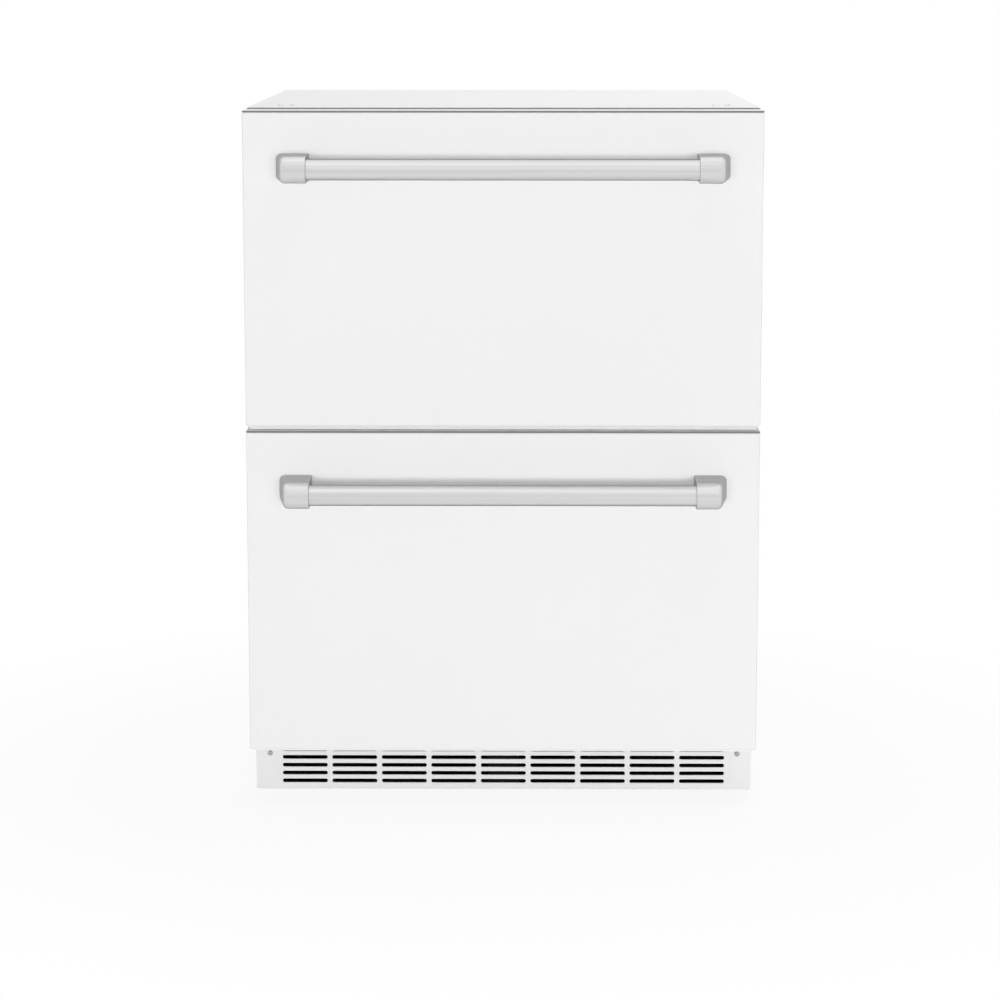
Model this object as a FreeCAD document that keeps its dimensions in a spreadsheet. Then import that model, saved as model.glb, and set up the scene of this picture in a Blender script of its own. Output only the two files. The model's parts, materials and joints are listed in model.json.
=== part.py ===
import FreeCAD, Part
import math
import os
import Sketcher

# Under-counter refrigerator with two insulated drawers, in millimetres.
# +Z is up, the drawers open towards -Y, and the origin is on the floor under the middle of the whole object.
# While a piece is drawn, y = 0 is the cabinet's sealing face; its Placement then carries it to the origin.

SIZES = {
    # steel cabinet
    "cabinet_width": 594,
    "cabinet_depth": 548,
    "cabinet_height": 818,
    "floor_clearance": 20,
    "sheet_wall": 1,
    "sheet_bend": 3,
    "front_flange": 14,
    "toe_height": 76,
    "toe_recess": 26,
    "rear_lip": 16,
    "rear_inset": 4,
    # insulation and liner
    "side_insulation": 40,
    "ceiling_insulation": 45,
    "floor_insulation": 40,
    "rear_insulation": 40,
    "liner_wall": 2,
    "liner_corner": 14,
    "machine_depth": 200,
    "mullion_height": 60,
    "mullion_depth": 32,
    "mullion_wall": 1.5,
    # base tray, toe grille and feet
    "tray_wall": 2,
    "tray_flange": 26,
    "tray_window_margin": 8,
    "tray_window_inner": 18,
    "tray_window_inset": 28,
    "tray_window_corner": 4,
    "grille_wall": 2,
    "grille_top_gap": 2,
    "grille_corner": 3,
    "grille_edge_round": 0.6,
    "grille_column_count": 9,
    "grille_row_count": 6,
    "grille_margin": 34.2,
    "slot_gap": 5.8,
    "slot_height": 4.2,
    "slot_row_pitch": 9.7,
    "slot_first_rise": 10,
    "foot_side_inset": 44,
    "foot_front_inset": 88,
    "foot_rear_inset": 65,
    "foot_pad_radius": 19,
    "foot_pad_height": 8,
    "foot_pad_round": 2,
    "foot_neck_radius": 9,
    "foot_neck_height": 14,
    "foot_stem_radius": 5,
    "foot_stem_top": 62,
    "foot_boss_radius": 11,
    "foot_boss_height": 14,
    # screws
    "screw_head_radius": 3.4,
    "screw_head_height": 2.2,
    "screw_head_round": 1.4,
    "screw_shank_radius": 1.9,
    "screw_length": 9,
    "top_screw_inset": 36,
    "top_screw_spacing": 14,
    "top_screw_setback": 43,
    "grille_screw_inset": 16.5,
    "grille_screw_rise": 44,
    "cover_screw_inset": 26,
    "cover_screw_low_rise": 14,
    "cover_screw_top_drop": 9,
    # machine cover and cord gland
    "louvre_column_count": 6,
    "louvre_row_count": 7,
    "louvre_margin": 56,
    "louvre_gap": 12,
    "louvre_height": 5,
    "louvre_row_pitch": 16,
    "louvre_first_rise": 70,
    "gland_inset": 81,
    "gland_rise": 36,
    "gland_flange_radius": 11,
    "gland_flange": 2,
    "gland_barrel_radius": 8,
    "gland_length": 14,
    "gland_bore_radius": 4,
    # drawer fronts
    "front_gap": 6,
    "front_toe_lap": 6.5,
    "lower_front_share": 0.5106,
    "front_top_drop": 2,
    "front_thickness": 44,
    "front_corner": 1.5,
    "gasket_gap": 8,
    "skin_wall": 1,
    "edge_strip": 1.8,
    "edge_strip_round": 0.4,
    "inner_panel_wall": 3,
    "inner_boss": 4,
    "inner_boss_gap": 22,
    "inner_boss_margin": 58,
    "inner_boss_corner": 20,
    "gasket_inset": 8,
    "gasket_width": 16,
    "gasket_foot": 8,
    "gasket_lip": 2,
    "gasket_clearance": 0.3,
    # handles
    "handle_inset": 38,
    "handle_drop_share": 0.1763,
    "handle_projection": 64,
    "bracket_height": 31,
    "bracket_base": 38,
    "bracket_nose": 26,
    "bracket_round": 3.5,
    "bracket_bevel": 0.8,
    "bracket_socket": 12,
    "bar_radius": 12,
    "bar_wall": 1.5,
    "close_fit": 0.05,
    # telescopic slides
    "slide_width": 13,
    "slide_start": 5,
    "slide_rear_gap": 41.5,
    "rail_wall": 1.2,
    "rail_gap": 0.4,
    "rail_height": 45,
    "rail_depth": 11.5,
    "rail_drop": 28,
    # bins and their frames
    "frame_wall": 1.5,
    "frame_height": 50,
    "frame_flange": 17,
    "frame_tab": 32,
    "bin_clearance": 10,
    "bin_fit": 1,
    "bin_wall": 2.5,
    "bin_draft": 8,
    "bin_corner": 26,
    "bin_rim": 13,
    "bin_rim_wall": 2.5,
    "bin_front": 16,
    "upper_headroom": 60,
    "lower_headroom": 41,
    "upper_bin_rear_gap": 19,
    "lower_bin_rear_gap": 19,
    # ceiling fittings
    "panel_side_inset": 144,
    "panel_front": 12,
    "panel_depth": 42,
    "panel_height": 16,
    "panel_corner": 8,
    "panel_window": 1.2,
    "panel_window_margin": 9,
    "lens_side_inset": 104,
    "lens_gap": 22,
    "lens_depth": 22,
    "lens_height": 7,
    "lens_corner": 10,
    # evaporator, seen from the front behind its cover
    "evaporator_cover_wall": 2.5,
    "evaporator_cover_space": 56,
    "evaporator_cover_low_gap": 13,
    "evaporator_cover_top_gap": 12,
    "evaporator_cover_side_gap": 4,
    "evaporator_post_radius": 7,
    "evaporator_post_inset": 26,
    "evaporator_pass_count": 6,
    "evaporator_run_inset": 84,
    "evaporator_pitch_share": 0.054,
    "evaporator_first_rise": 62,
    "evaporator_tube_radius": 4,
    "evaporator_fin_count": 29,
    "evaporator_fin_inset": 10,
    "evaporator_fin_depth": 40,
    "evaporator_fin_wall": 0.5,
    "evaporator_fin_margin": 18,
    "evaporator_vent_margin": 50,
    "evaporator_vent_gap": 20,
    "evaporator_vent_height": 6,
    "evaporator_vent_pitch": 14,
    "evaporator_vent_first_rise": 34,
    "evaporator_vent_row_count": 4,
    "evaporator_vent_column_count": 3,
    "guard_slot_count": 16,
    "guard_slot_inner": 16,
    "guard_slot_outer": 47,
    "guard_slot_width": 5,
    "evaporator_fan_drop_share": 0.29,
    "evaporator_fan_radius": 50,
    "evaporator_motor_length": 24,
    "evaporator_motor_radius": 21,
    "evaporator_shaft_length": 18,
    "evaporator_hub_radius": 15,
    "evaporator_hub_length": 14,
    # condenser block and fan, in the machine bay
    "condenser_gap": 8,
    "condenser_pass_count": 8,
    "condenser_pitch_share": 0.096,
    "condenser_first_rise": 18,
    "condenser_front_gap": 30,
    "condenser_rear_gap": 25,
    "condenser_tube_radius": 3.5,
    "condenser_fin_count": 27,
    "condenser_fin_depth": 44,
    "condenser_fin_wall": 0.4,
    "condenser_fin_margin": 16,
    "fan_frame_share": 0.15,
    "fan_frame_wall": 3,
    "fan_frame_width": 180,
    "fan_frame_top_gap": 16,
    "fan_frame_corner": 8,
    "fan_arm_count": 3,
    "fan_arm_width": 10,
    "fan_ring_wall": 5,
    "fan_opening_gap": 4,
    "condenser_fan_margin": 30,
    "condenser_motor_length": 44,
    "condenser_motor_radius": 27,
    "condenser_motor_overhang": 8,
    "condenser_shaft_length": 26,
    "condenser_hub_radius": 19,
    "condenser_hub_length": 20,
    "fan_blade_count": 5,
    "fan_shaft_radius": 3,
    "running_fit": 0.08,
    "fan_hub_gap": 3,
    "motor_round": 2,
    "blade_wall": 1.6,
    "blade_root_share": 0.9,
    "blade_root_width_share": 0.8,
    "blade_tip_width_share": 0.72,
    "blade_tip_pitch_share": 0.7,
    # compressor
    "compressor_radius": 70,
    "compressor_height": 148,
    "compressor_dome": 30,
    "compressor_flat_share": 0.5,
    "weld_flange": 4,
    "weld_flange_height": 5,
    "compressor_plate_wall": 3,
    "compressor_plate_half": 88,
    "compressor_plate_depth": 62,
    "compressor_plate_corner": 14,
    "grommet_across": 74,
    "grommet_depth": 48,
    "grommet_radius": 11,
    "grommet_height": 16,
    "grommet_waist": 3,
    "grommet_bore_radius": 4,
    "grommet_gap": 6,
    "terminal_width": 44,
    "terminal_height": 56,
    "terminal_depth": 26,
    "terminal_rise": 52,
    "terminal_round": 4,
    # pipework and drain pan
    "line_radius": 3,
    "line_bend": 12,
    "line_gap": 0.3,
    "line_inner_share": 0.6,
    "line_high_drop": 9,
    "discharge_lift": 26,
    "drier_radius": 9,
    "drier_length": 96,
    "drier_neck": 12,
    "drier_gap": 5,
    "drier_rise": 70,
    "pan_half_across": 62,
    "pan_half_depth": 56,
    "pan_height": 24,
    "pan_wall": 2,
    "pan_corner": 12,
    "pan_gap": 20,
    # tool overrun, always cut away or outside the piece
    "overrun": 5,
}

doc = FreeCAD.newDocument("drawer_refrigerator")
sheet = doc.addObject("Spreadsheet::Sheet", "Sizes")
for row, (alias, number) in enumerate(SIZES.items(), 1):
    sheet.set(f"A{row}", alias)
    sheet.set(f"B{row}", str(number))
    sheet.setAlias(f"B{row}", alias)
doc.recompute()


class Size:
    """A length with its present number and the spreadsheet expression that it comes from."""

    def __init__(self, number, text):
        self.number = number
        self.text = text

    def joined(self, sign, other, number):
        return Size(number, f"({self.text} {sign} {other.text})")

    def __add__(self, other):
        other = as_size(other)
        return self.joined("+", other, self.number + other.number)

    def __sub__(self, other):
        other = as_size(other)
        return self.joined("-", other, self.number - other.number)

    def __mul__(self, other):
        other = as_size(other)
        return self.joined("*", other, self.number * other.number)

    def __truediv__(self, other):
        other = as_size(other)
        return self.joined("/", other, self.number / other.number)

    def __neg__(self):
        return Size(-self.number, f"(-1 * {self.text})")

    def __radd__(self, other):
        return as_size(other) + self

    def __rsub__(self, other):
        return as_size(other) - self

    def __rmul__(self, other):
        return as_size(other) * self


def as_size(value):
    return value if isinstance(value, Size) else Size(value, f"({value})")


class Dimensions:
    """Every driving dimension of the spreadsheet as a Size."""

    def __getattr__(self, alias):
        return Size(SIZES[alias], f"Sizes.{alias}")


d = Dimensions()
Vector = FreeCAD.Vector
Constraint = Sketcher.Constraint
ORIGIN = as_size(0)
QUARTER_TURN = 90
TOUCHING = 1e-6
SIDES = (("left", -1), ("right", 1))
SUB_PARTS = []

# Places that several pieces share
half_width = d.cabinet_width / 2
base_z = d.floor_clearance
deck_z = base_z + d.toe_height
tray_top = base_z + d.tray_wall
plate_top = tray_top + d.grommet_height
plate_z = plate_top - d.compressor_plate_wall
compressor_top = plate_top + d.compressor_height
bay_z = compressor_top + d.pan_height + d.pan_gap
top_z = base_z + d.cabinet_height
rear_y = d.cabinet_depth - d.sheet_wall
bay_y = d.cabinet_depth - d.machine_depth
tray_front_y = d.toe_recess + d.grille_wall
cover_y = rear_y - d.rear_inset
shell_inside = half_width - d.sheet_wall
flange_inside = shell_inside - d.front_flange
cavity_half = shell_inside - d.side_insulation - d.liner_wall
cavity_floor = deck_z + d.sheet_wall + d.floor_insulation + d.liner_wall
cavity_ceiling = top_z - d.sheet_wall - d.ceiling_insulation - d.liner_wall
cavity_rear = rear_y - d.rear_insulation - d.liner_wall
step_y = bay_y - d.sheet_wall - d.rear_insulation - d.liner_wall
step_z = bay_z + d.sheet_wall + d.floor_insulation + d.liner_wall
lower_bottom = deck_z - d.front_toe_lap
upper_top = top_z - d.front_top_drop
lower_top = lower_bottom + (upper_top - d.front_gap - lower_bottom) * d.lower_front_share
upper_bottom = lower_top + d.front_gap
mullion_mid = upper_bottom - d.front_gap / 2
mullion_top = mullion_mid + d.mullion_height / 2
mullion_low = mullion_top - d.mullion_height
upper_rim = cavity_ceiling - d.upper_headroom
lower_rim = mullion_low - d.lower_headroom
upper_bin_height = upper_rim - mullion_top - d.bin_clearance
lower_bin_height = lower_rim - cavity_floor - d.bin_clearance
evaporator_cover_y = cavity_rear - d.evaporator_cover_space - d.evaporator_cover_wall
slide_length = evaporator_cover_y - d.slide_start - d.slide_rear_gap
upper_bin_depth = d.slide_start + slide_length - d.upper_bin_rear_gap - d.bin_front
lower_bin_depth = step_y - d.lower_bin_rear_gap - d.bin_front
face_y = -d.gasket_gap - d.front_thickness
nose_y = face_y - d.handle_projection
origin_shift = -(d.cabinet_depth + nose_y) / 2
frame_outside = cavity_half - d.slide_width
screw_hole = d.screw_shank_radius + d.close_fit
cold_height = cavity_ceiling - step_z
evaporator_fan_z = cavity_ceiling - cold_height * d.evaporator_fan_drop_share
bay_middle_y = (bay_y + cover_y) / 2
foot_x = shell_inside - d.foot_side_inset
compressor_x = foot_x - d.foot_boss_radius - d.grommet_gap - d.grommet_radius - d.grommet_across
fan_frame_x = -shell_inside * d.fan_frame_share
fan_motor_x = fan_frame_x + d.condenser_motor_overhang
condenser_x = fan_motor_x - d.condenser_motor_length - d.condenser_gap - d.condenser_fin_depth / 2
condenser_front_y = bay_y + d.condenser_front_gap
condenser_rear_y = cover_y - d.condenser_rear_gap
fan_z = (tray_top + bay_z) / 2
condenser_pitch = (bay_z - tray_top) * d.condenser_pitch_share
condenser_fan_radius = bay_z - fan_z - d.condenser_fan_margin
gland_x = shell_inside - d.gland_inset


# Helpers that draw a bound sketch and grow or cut a solid from it


def bind(item, name, size):
    item.setExpression(name, as_size(size).text)


def new_body(name):
    return doc.addObject("PartDesign::Body", name)


def new_sketch(body, plane, at=ORIGIN, across=ORIGIN, up=ORIGIN):
    """A sketch on an origin plane of the body, moved to a place along the world axis that the plane faces."""
    facing = -1 if plane == "XZ" else 1
    sketch = body.newObject("Sketcher::SketchObject", f"{body.Name}_{plane}_sketch")
    base = [f for f in body.Origin.OriginFeatures if f.Role == f"{plane}_Plane"][0]
    sketch.AttachmentSupport = [(base, "")]
    sketch.MapMode = "FlatFace"
    bind(sketch, "AttachmentOffset.Base.x", across)
    bind(sketch, "AttachmentOffset.Base.y", up)
    bind(sketch, "AttachmentOffset.Base.z", facing * as_size(at))
    return sketch


def fix_value(sketch, kind, *args, size):
    index = sketch.addConstraint(Constraint(kind, *args, size.number))
    bind(sketch, f"Constraints[{index}]", size)


def fix_point(sketch, item, place, across, up):
    fix_value(sketch, "DistanceX", -1, 1, item, place, size=as_size(across))
    fix_value(sketch, "DistanceY", -1, 1, item, place, size=as_size(up))


def corner_arc(before, corner, after, radius):
    """The two ends of a corner rounding, its centre, and whether the outline turns left there."""
    to_before = (before - corner).normalize()
    to_after = (after - corner).normalize()
    opening = to_before.getAngle(to_after)
    reach = radius / math.tan(opening / 2)
    middle = corner + (to_before + to_after).normalize() * (radius / math.sin(opening / 2))
    turns_left = (corner - before).cross(after - corner).z > 0
    return corner + to_before * reach, corner + to_after * reach, middle, turns_left


def outline(sketch, corners):
    """A closed outline through the corners; each is (across, up) or (across, up, radius)."""
    spots = [Vector(as_size(c[0]).number, as_size(c[1]).number, 0) for c in corners]
    count = len(corners)
    starts = list(spots)
    ends = list(spots)
    arcs = {}
    for i, corner in enumerate(corners):
        if len(corner) == 3:
            arc = corner_arc(spots[i - 1], spots[i], spots[(i + 1) % count], corner[2].number)
            ends[i], starts[i] = arc[0], arc[1]
            arcs[i] = arc
    lines = [
        sketch.addGeometry(Part.LineSegment(starts[i], ends[(i + 1) % count])) for i in range(count)
    ]
    for i, corner in enumerate(corners):
        before = lines[i - 1]
        after = lines[i]
        if i not in arcs:
            sketch.addConstraint(Constraint("Coincident", before, 2, after, 1))
            fix_point(sketch, after, 1, corner[0], corner[1])
            continue
        entry, leave, middle, turns_left = arcs[i]
        first, last = (entry, leave) if turns_left else (leave, entry)
        angles = [math.atan2(p.y - middle.y, p.x - middle.x) for p in (first, last)]
        circle = Part.Circle(middle, Vector(0, 0, 1), corner[2].number)
        arc = sketch.addGeometry(Part.ArcOfCircle(circle, *angles))
        entry_end, leave_end = (1, 2) if turns_left else (2, 1)
        sketch.addConstraint(Constraint("Tangent", before, 2, arc, entry_end))
        sketch.addConstraint(Constraint("Tangent", arc, leave_end, after, 1))
        fix_value(sketch, "Radius", arc, size=corner[2])
        point = sketch.addGeometry(Part.Point(spots[i]), True)
        fix_point(sketch, point, 1, corner[0], corner[1])
        sketch.addConstraint(Constraint("PointOnObject", point, 1, before))
        sketch.addConstraint(Constraint("PointOnObject", point, 1, after))
    return sketch


def rectangle(sketch, left, low, right, high, *radius):
    return outline(
        sketch,
        [(left, low, *radius), (right, low, *radius), (right, high, *radius), (left, high, *radius)],
    )


def circle(sketch, across, up, radius):
    middle = Vector(as_size(across).number, as_size(up).number, 0)
    item = sketch.addGeometry(Part.Circle(middle, Vector(0, 0, 1), radius.number))
    fix_point(sketch, item, 3, across, up)
    fix_value(sketch, "Radius", item, size=radius)
    return sketch


def slot(sketch, left, right, up, height):
    """A round-ended slot lying across the sketch; its ends are at left and right."""
    radius = height / 2
    centres = (as_size(left) + radius, as_size(right) - radius)
    y = as_size(up).number
    r = radius.number
    spots = [Vector(c.number, y, 0) for c in centres]
    rise = Vector(0, r, 0)
    facing = Vector(0, 0, 1)
    arcs = [
        sketch.addGeometry(Part.ArcOfCircle(Part.Circle(spots[0], facing, r), math.pi / 2, math.pi * 3 / 2)),
        sketch.addGeometry(Part.ArcOfCircle(Part.Circle(spots[1], facing, r), -math.pi / 2, math.pi / 2)),
    ]
    low = sketch.addGeometry(Part.LineSegment(spots[0] - rise, spots[1] - rise))
    high = sketch.addGeometry(Part.LineSegment(spots[1] + rise, spots[0] + rise))
    sketch.addConstraint(Constraint("Tangent", arcs[0], 2, low, 1))
    sketch.addConstraint(Constraint("Tangent", low, 2, arcs[1], 1))
    sketch.addConstraint(Constraint("Tangent", arcs[1], 2, high, 1))
    sketch.addConstraint(Constraint("Tangent", high, 2, arcs[0], 1))
    sketch.addConstraint(Constraint("Equal", arcs[0], arcs[1]))
    fix_value(sketch, "Radius", arcs[0], size=radius)
    for arc, centre in zip(arcs, centres):
        fix_point(sketch, arc, 3, centre, up)
    return sketch


def faces_back(sketch):
    return "_XZ_" in sketch.Name


def extrude(kind, sketch, length, towards, middle):
    body = sketch.getParentGeoFeatureGroup()
    feature = body.newObject(f"PartDesign::{kind}", f"{body.Name}_{kind.lower()}")
    feature.Profile = sketch
    bind(feature, "Length", length)
    along_normal = (towards > 0) != faces_back(sketch)
    feature.Reversed = along_normal if kind == "Pocket" else not along_normal
    feature.SideType = "Symmetric" if middle else "One side"
    body.Tip = feature
    doc.recompute()
    return feature


def pad(sketch, length, towards=1, middle=False):
    return extrude("Pad", sketch, length, towards, middle)


def pocket(sketch, length, towards=1, middle=False):
    """A cut, which must take something away."""
    body = sketch.getParentGeoFeatureGroup()
    before = body.Tip.Shape.Volume
    feature = extrude("Pocket", sketch, length, towards, middle)
    if not feature.Shape.Volume < before:
        raise ValueError(f"a cut in {body.Name} takes nothing away")
    return feature


def revolve(sketch, axis="V_Axis"):
    body = sketch.getParentGeoFeatureGroup()
    feature = body.newObject("PartDesign::Revolution", f"{body.Name}_revolution")
    feature.Profile = sketch
    feature.ReferenceAxis = (sketch, [axis])
    body.Tip = feature
    doc.recompute()
    return feature


def loft(kind, first, last):
    body = first.getParentGeoFeatureGroup()
    feature = body.newObject(f"PartDesign::{kind}Loft", f"{body.Name}_{kind.lower()}_loft")
    feature.Profile = first
    feature.Sections = [last]
    feature.Ruled = True
    body.Tip = feature
    doc.recompute()
    return feature


def pipe(profile, path):
    body = profile.getParentGeoFeatureGroup()
    feature = body.newObject("PartDesign::AdditivePipe", f"{body.Name}_pipe")
    feature.Profile = profile
    feature.Spine = (path, [])
    feature.Transition = "Right corner"
    body.Tip = feature
    doc.recompute()
    return feature


def dress(kind, body, amount, test):
    """A fillet or chamfer on the edges of the body that pass the test."""
    base = body.Tip
    names = [f"Edge{i}" for i, edge in enumerate(base.Shape.Edges, 1) if test(edge)]
    feature = body.newObject(f"PartDesign::{kind}", f"{body.Name}_{kind.lower()}")
    feature.Base = (base, names)
    bind(feature, "Radius" if kind == "Fillet" else "Size", amount)
    body.Tip = feature
    doc.recompute()
    return feature


def pattern(body, originals, steps):
    """Copies in one or two directions; each step is (sketch axis, sketch, spacing, count)."""
    group = body.newObject("PartDesign::MultiTransform", f"{body.Name}_pattern")
    group.Originals = originals
    moves = []
    for axis, sketch, spacing, count in steps:
        move = body.newObject("PartDesign::LinearPattern", f"{body.Name}_row")
        move.Direction = (sketch, [axis])
        bind(move, "Length", spacing * (count - 1))
        bind(move, "Occurrences", count)
        moves.append(move)
    group.Transformations = moves
    body.Tip = group
    doc.recompute()
    return group


def turned(body, original, sketch, count):
    """Copies turned evenly about the normal through the sketch's own origin."""
    feature = body.newObject("PartDesign::PolarPattern", f"{body.Name}_round")
    feature.Originals = [original]
    feature.Axis = (sketch, ["N_Axis"])
    bind(feature, "Occurrences", count)
    body.Tip = feature
    doc.recompute()
    return feature


def place(item, x=ORIGIN, y=ORIGIN, z=ORIGIN, axis=None, angle=0):
    if axis is not None:
        item.Placement = FreeCAD.Placement(Vector(), FreeCAD.Rotation(axis, angle))
    for name, size in (("x", x), ("y", y), ("z", z)):
        bind(item, f"Placement.Base.{name}", size)


def sub_part(item, label, x=ORIGIN, y=ORIGIN, z=ORIGIN, axis=None, angle=0):
    item.Label = label
    place(item, x, origin_shift + y, z, axis, angle)
    SUB_PARTS.append(item)


def group(label, members):
    """Separate solids that share one node."""
    item = doc.addObject("Part::Compound", label)
    item.Links = members
    sub_part(item, label)


def on_plane(edge, normal, point):
    return all(abs((v.Point - point).dot(normal)) < TOUCHING for v in edge.Vertexes)


# Steel cabinet


def build_cabinet_shell():
    body = new_body("cabinet_shell")
    inside = shell_inside
    under = top_z - d.sheet_wall
    bend = d.sheet_bend - d.sheet_wall
    wrapper = [
        (-half_width, base_z),
        (-half_width, top_z, d.sheet_bend),
        (half_width, top_z, d.sheet_bend),
        (half_width, base_z),
        (inside, base_z),
        (inside, under, bend),
        (-inside, under, bend),
        (-inside, base_z),
    ]
    pad(outline(new_sketch(body, "XZ"), wrapper), d.cabinet_depth)
    low = under - d.front_flange
    flange = [
        (-inside, deck_z),
        (-inside, under),
        (inside, under),
        (inside, deck_z),
        (flange_inside, deck_z),
        (flange_inside, low),
        (-flange_inside, low),
        (-flange_inside, deck_z),
    ]
    pad(outline(new_sketch(body, "XZ"), flange), d.sheet_wall)
    toe = rectangle(new_sketch(body, "YZ"), -d.overrun, base_z - d.overrun, tray_front_y, deck_z)
    pocket(toe, d.cabinet_width + d.overrun, middle=True)
    pocket(top_screw_holes(body, screw_hole), d.sheet_wall * 2, towards=-1)
    sub_part(body, "cabinet_shell")


def top_screw_places():
    outer = half_width - d.top_screw_inset
    pair = (outer, outer - d.top_screw_spacing)
    return [(side * across, d.top_screw_setback) for _, side in SIDES for across in pair]


def grille_screw_places():
    across = half_width - d.grille_screw_inset
    return [(side * across, base_z + d.grille_screw_rise) for _, side in SIDES]


def cover_screw_places(rise):
    across = shell_inside - d.cover_screw_inset
    return [(side * across, rise) for _, side in SIDES]


cover_screw_low = base_z + d.cover_screw_low_rise
cover_screw_high = bay_z - d.cover_screw_top_drop


def holes(sketch, places, radius):
    for across, up in places:
        circle(sketch, across, up, radius)
    return sketch


def top_screw_holes(body, radius):
    return holes(new_sketch(body, "XY", top_z), top_screw_places(), radius)


def round_top_corners(body):
    """Rounds the two upper corners of a piece that fills the wrapper, to suit the bends in its sheet."""
    top = Vector(0, 0, top_z.number - d.sheet_wall.number)

    def in_corner(edge):
        walls = [Vector(side * shell_inside.number, 0, 0) for _, side in SIDES]
        at_side = any(on_plane(edge, Vector(1, 0, 0), wall) for wall in walls)
        return at_side and on_plane(edge, Vector(0, 0, 1), top)

    dress("Fillet", body, d.sheet_bend - d.sheet_wall, in_corner)


def build_rear_panel():
    body = new_body("rear_panel")
    lip_y = cover_y - d.sheet_wall
    fold = bay_z - d.sheet_wall
    section = [
        (d.cabinet_depth, top_z - d.sheet_wall),
        (d.cabinet_depth, fold),
        (cover_y, fold),
        (cover_y, bay_z - d.rear_lip),
        (lip_y, bay_z - d.rear_lip),
        (lip_y, bay_z),
        (rear_y, bay_z),
        (rear_y, top_z - d.sheet_wall),
    ]
    pad(outline(new_sketch(body, "YZ"), section), shell_inside * 2, middle=True)
    round_top_corners(body)
    places = cover_screw_places(cover_screw_high)
    pocket(holes(new_sketch(body, "XZ", cover_y), places, screw_hole), d.sheet_wall * 2, towards=-1)
    sub_part(body, "rear_panel")


def build_deck_panel():
    body = new_body("deck_panel")
    wall = d.sheet_wall
    section = [
        (wall, deck_z),
        (bay_y, deck_z),
        (bay_y, bay_z),
        (rear_y, bay_z),
        (rear_y, bay_z + wall),
        (bay_y - wall, bay_z + wall),
        (bay_y - wall, deck_z + wall),
        (wall, deck_z + wall),
    ]
    pad(outline(new_sketch(body, "YZ"), section), shell_inside * 2, middle=True)
    sub_part(body, "deck_panel")


def cavity_outline(sketch, front, grow):
    """Side view of the cold space with its hump over the machine bay, grown outwards by an amount."""
    outer = d.liner_corner + grow
    hump = d.liner_corner - grow
    corners = [
        (front, cavity_floor - grow),
        (step_y + grow, cavity_floor - grow, outer),
        (step_y + grow, step_z - grow, hump),
        (cavity_rear + grow, step_z - grow, outer),
        (cavity_rear + grow, cavity_ceiling + grow, outer),
        (front, cavity_ceiling + grow),
    ]
    return outline(sketch, corners)


def build_insulation_foam():
    body = new_body("insulation_foam")
    wall = d.sheet_wall
    section = [
        (d.liner_wall, deck_z + wall),
        (bay_y - wall, deck_z + wall),
        (bay_y - wall, bay_z + wall),
        (rear_y, bay_z + wall),
        (rear_y, top_z - wall),
        (d.liner_wall, top_z - wall),
    ]
    pad(outline(new_sketch(body, "YZ"), section), shell_inside * 2, middle=True)
    round_top_corners(body)
    cavity = cavity_outline(new_sketch(body, "YZ"), -d.overrun, d.liner_wall)
    pocket(cavity, (cavity_half + d.liner_wall) * 2, middle=True)
    depth = d.screw_length + d.sheet_wall
    pocket(top_screw_holes(body, screw_hole), depth, towards=-1)
    sub_part(body, "insulation_foam")


def build_inner_liner():
    body = new_body("inner_liner")
    outer = cavity_outline(new_sketch(body, "YZ"), ORIGIN, d.liner_wall)
    pad(outer, (cavity_half + d.liner_wall) * 2, middle=True)
    flange = new_sketch(body, "XZ")
    high = top_z - d.sheet_wall - d.front_flange
    rectangle(flange, -flange_inside, deck_z + d.sheet_wall, flange_inside, high)
    pad(flange, d.liner_wall)
    pocket(cavity_outline(new_sketch(body, "YZ"), -d.overrun, ORIGIN), cavity_half * 2, middle=True)
    sub_part(body, "inner_liner")


def build_center_mullion():
    body = new_body("center_mullion")
    sketch = new_sketch(body, "YZ")
    wall = d.mullion_wall
    rectangle(sketch, ORIGIN, mullion_low, d.mullion_depth, mullion_top)
    rectangle(sketch, wall, mullion_low + wall, d.mullion_depth - wall, mullion_top - wall)
    pad(sketch, cavity_half * 2, middle=True)
    sub_part(body, "center_mullion")


# Base tray, toe grille, feet and screws


def foot_places():
    depths = (("front", tray_front_y + d.foot_front_inset), ("rear", cover_y - d.foot_rear_inset))
    return [(f"foot_{end}_{name}", side * foot_x, y) for end, y in depths for name, side in SIDES]


def build_base_tray():
    body = new_body("base_tray")
    wall = d.tray_wall
    plate = rectangle(new_sketch(body, "XY", base_z), -shell_inside, tray_front_y, shell_inside, cover_y)
    pad(plate, wall)
    front = new_sketch(body, "XZ", tray_front_y)
    rectangle(front, -shell_inside, base_z, shell_inside, deck_z)
    low = base_z + d.tray_window_margin
    high = deck_z - d.tray_window_margin
    outer = shell_inside - d.tray_window_inset
    rectangle(front, d.tray_window_inner, low, outer, high, d.tray_window_corner)
    rectangle(front, -outer, low, -d.tray_window_inner, high, d.tray_window_corner)
    pad(front, wall)
    rear = new_sketch(body, "XZ", cover_y)
    rectangle(rear, -shell_inside, base_z, shell_inside, base_z + d.tray_flange)
    pad(rear, wall, towards=-1)
    for _, side in SIDES:
        flange = new_sketch(body, "YZ", side * shell_inside)
        rectangle(flange, tray_front_y, base_z, cover_y, base_z + d.tray_flange)
        pad(flange, wall, towards=-side)
    places = [(x, y) for _, x, y in foot_places()]
    pad(holes(new_sketch(body, "XY", base_z), places, d.foot_boss_radius), d.foot_boss_height)
    stem = d.foot_stem_radius + d.running_fit
    bores = holes(new_sketch(body, "XY", base_z), places, stem)
    pocket(bores, d.foot_boss_height)
    fronts = holes(new_sketch(body, "XZ", tray_front_y), grille_screw_places(), screw_hole)
    pocket(fronts, wall)
    rears = holes(new_sketch(body, "XZ", cover_y), cover_screw_places(cover_screw_low), screw_hole)
    pocket(rears, wall, towards=-1)
    sub_part(body, "base_tray")


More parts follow.
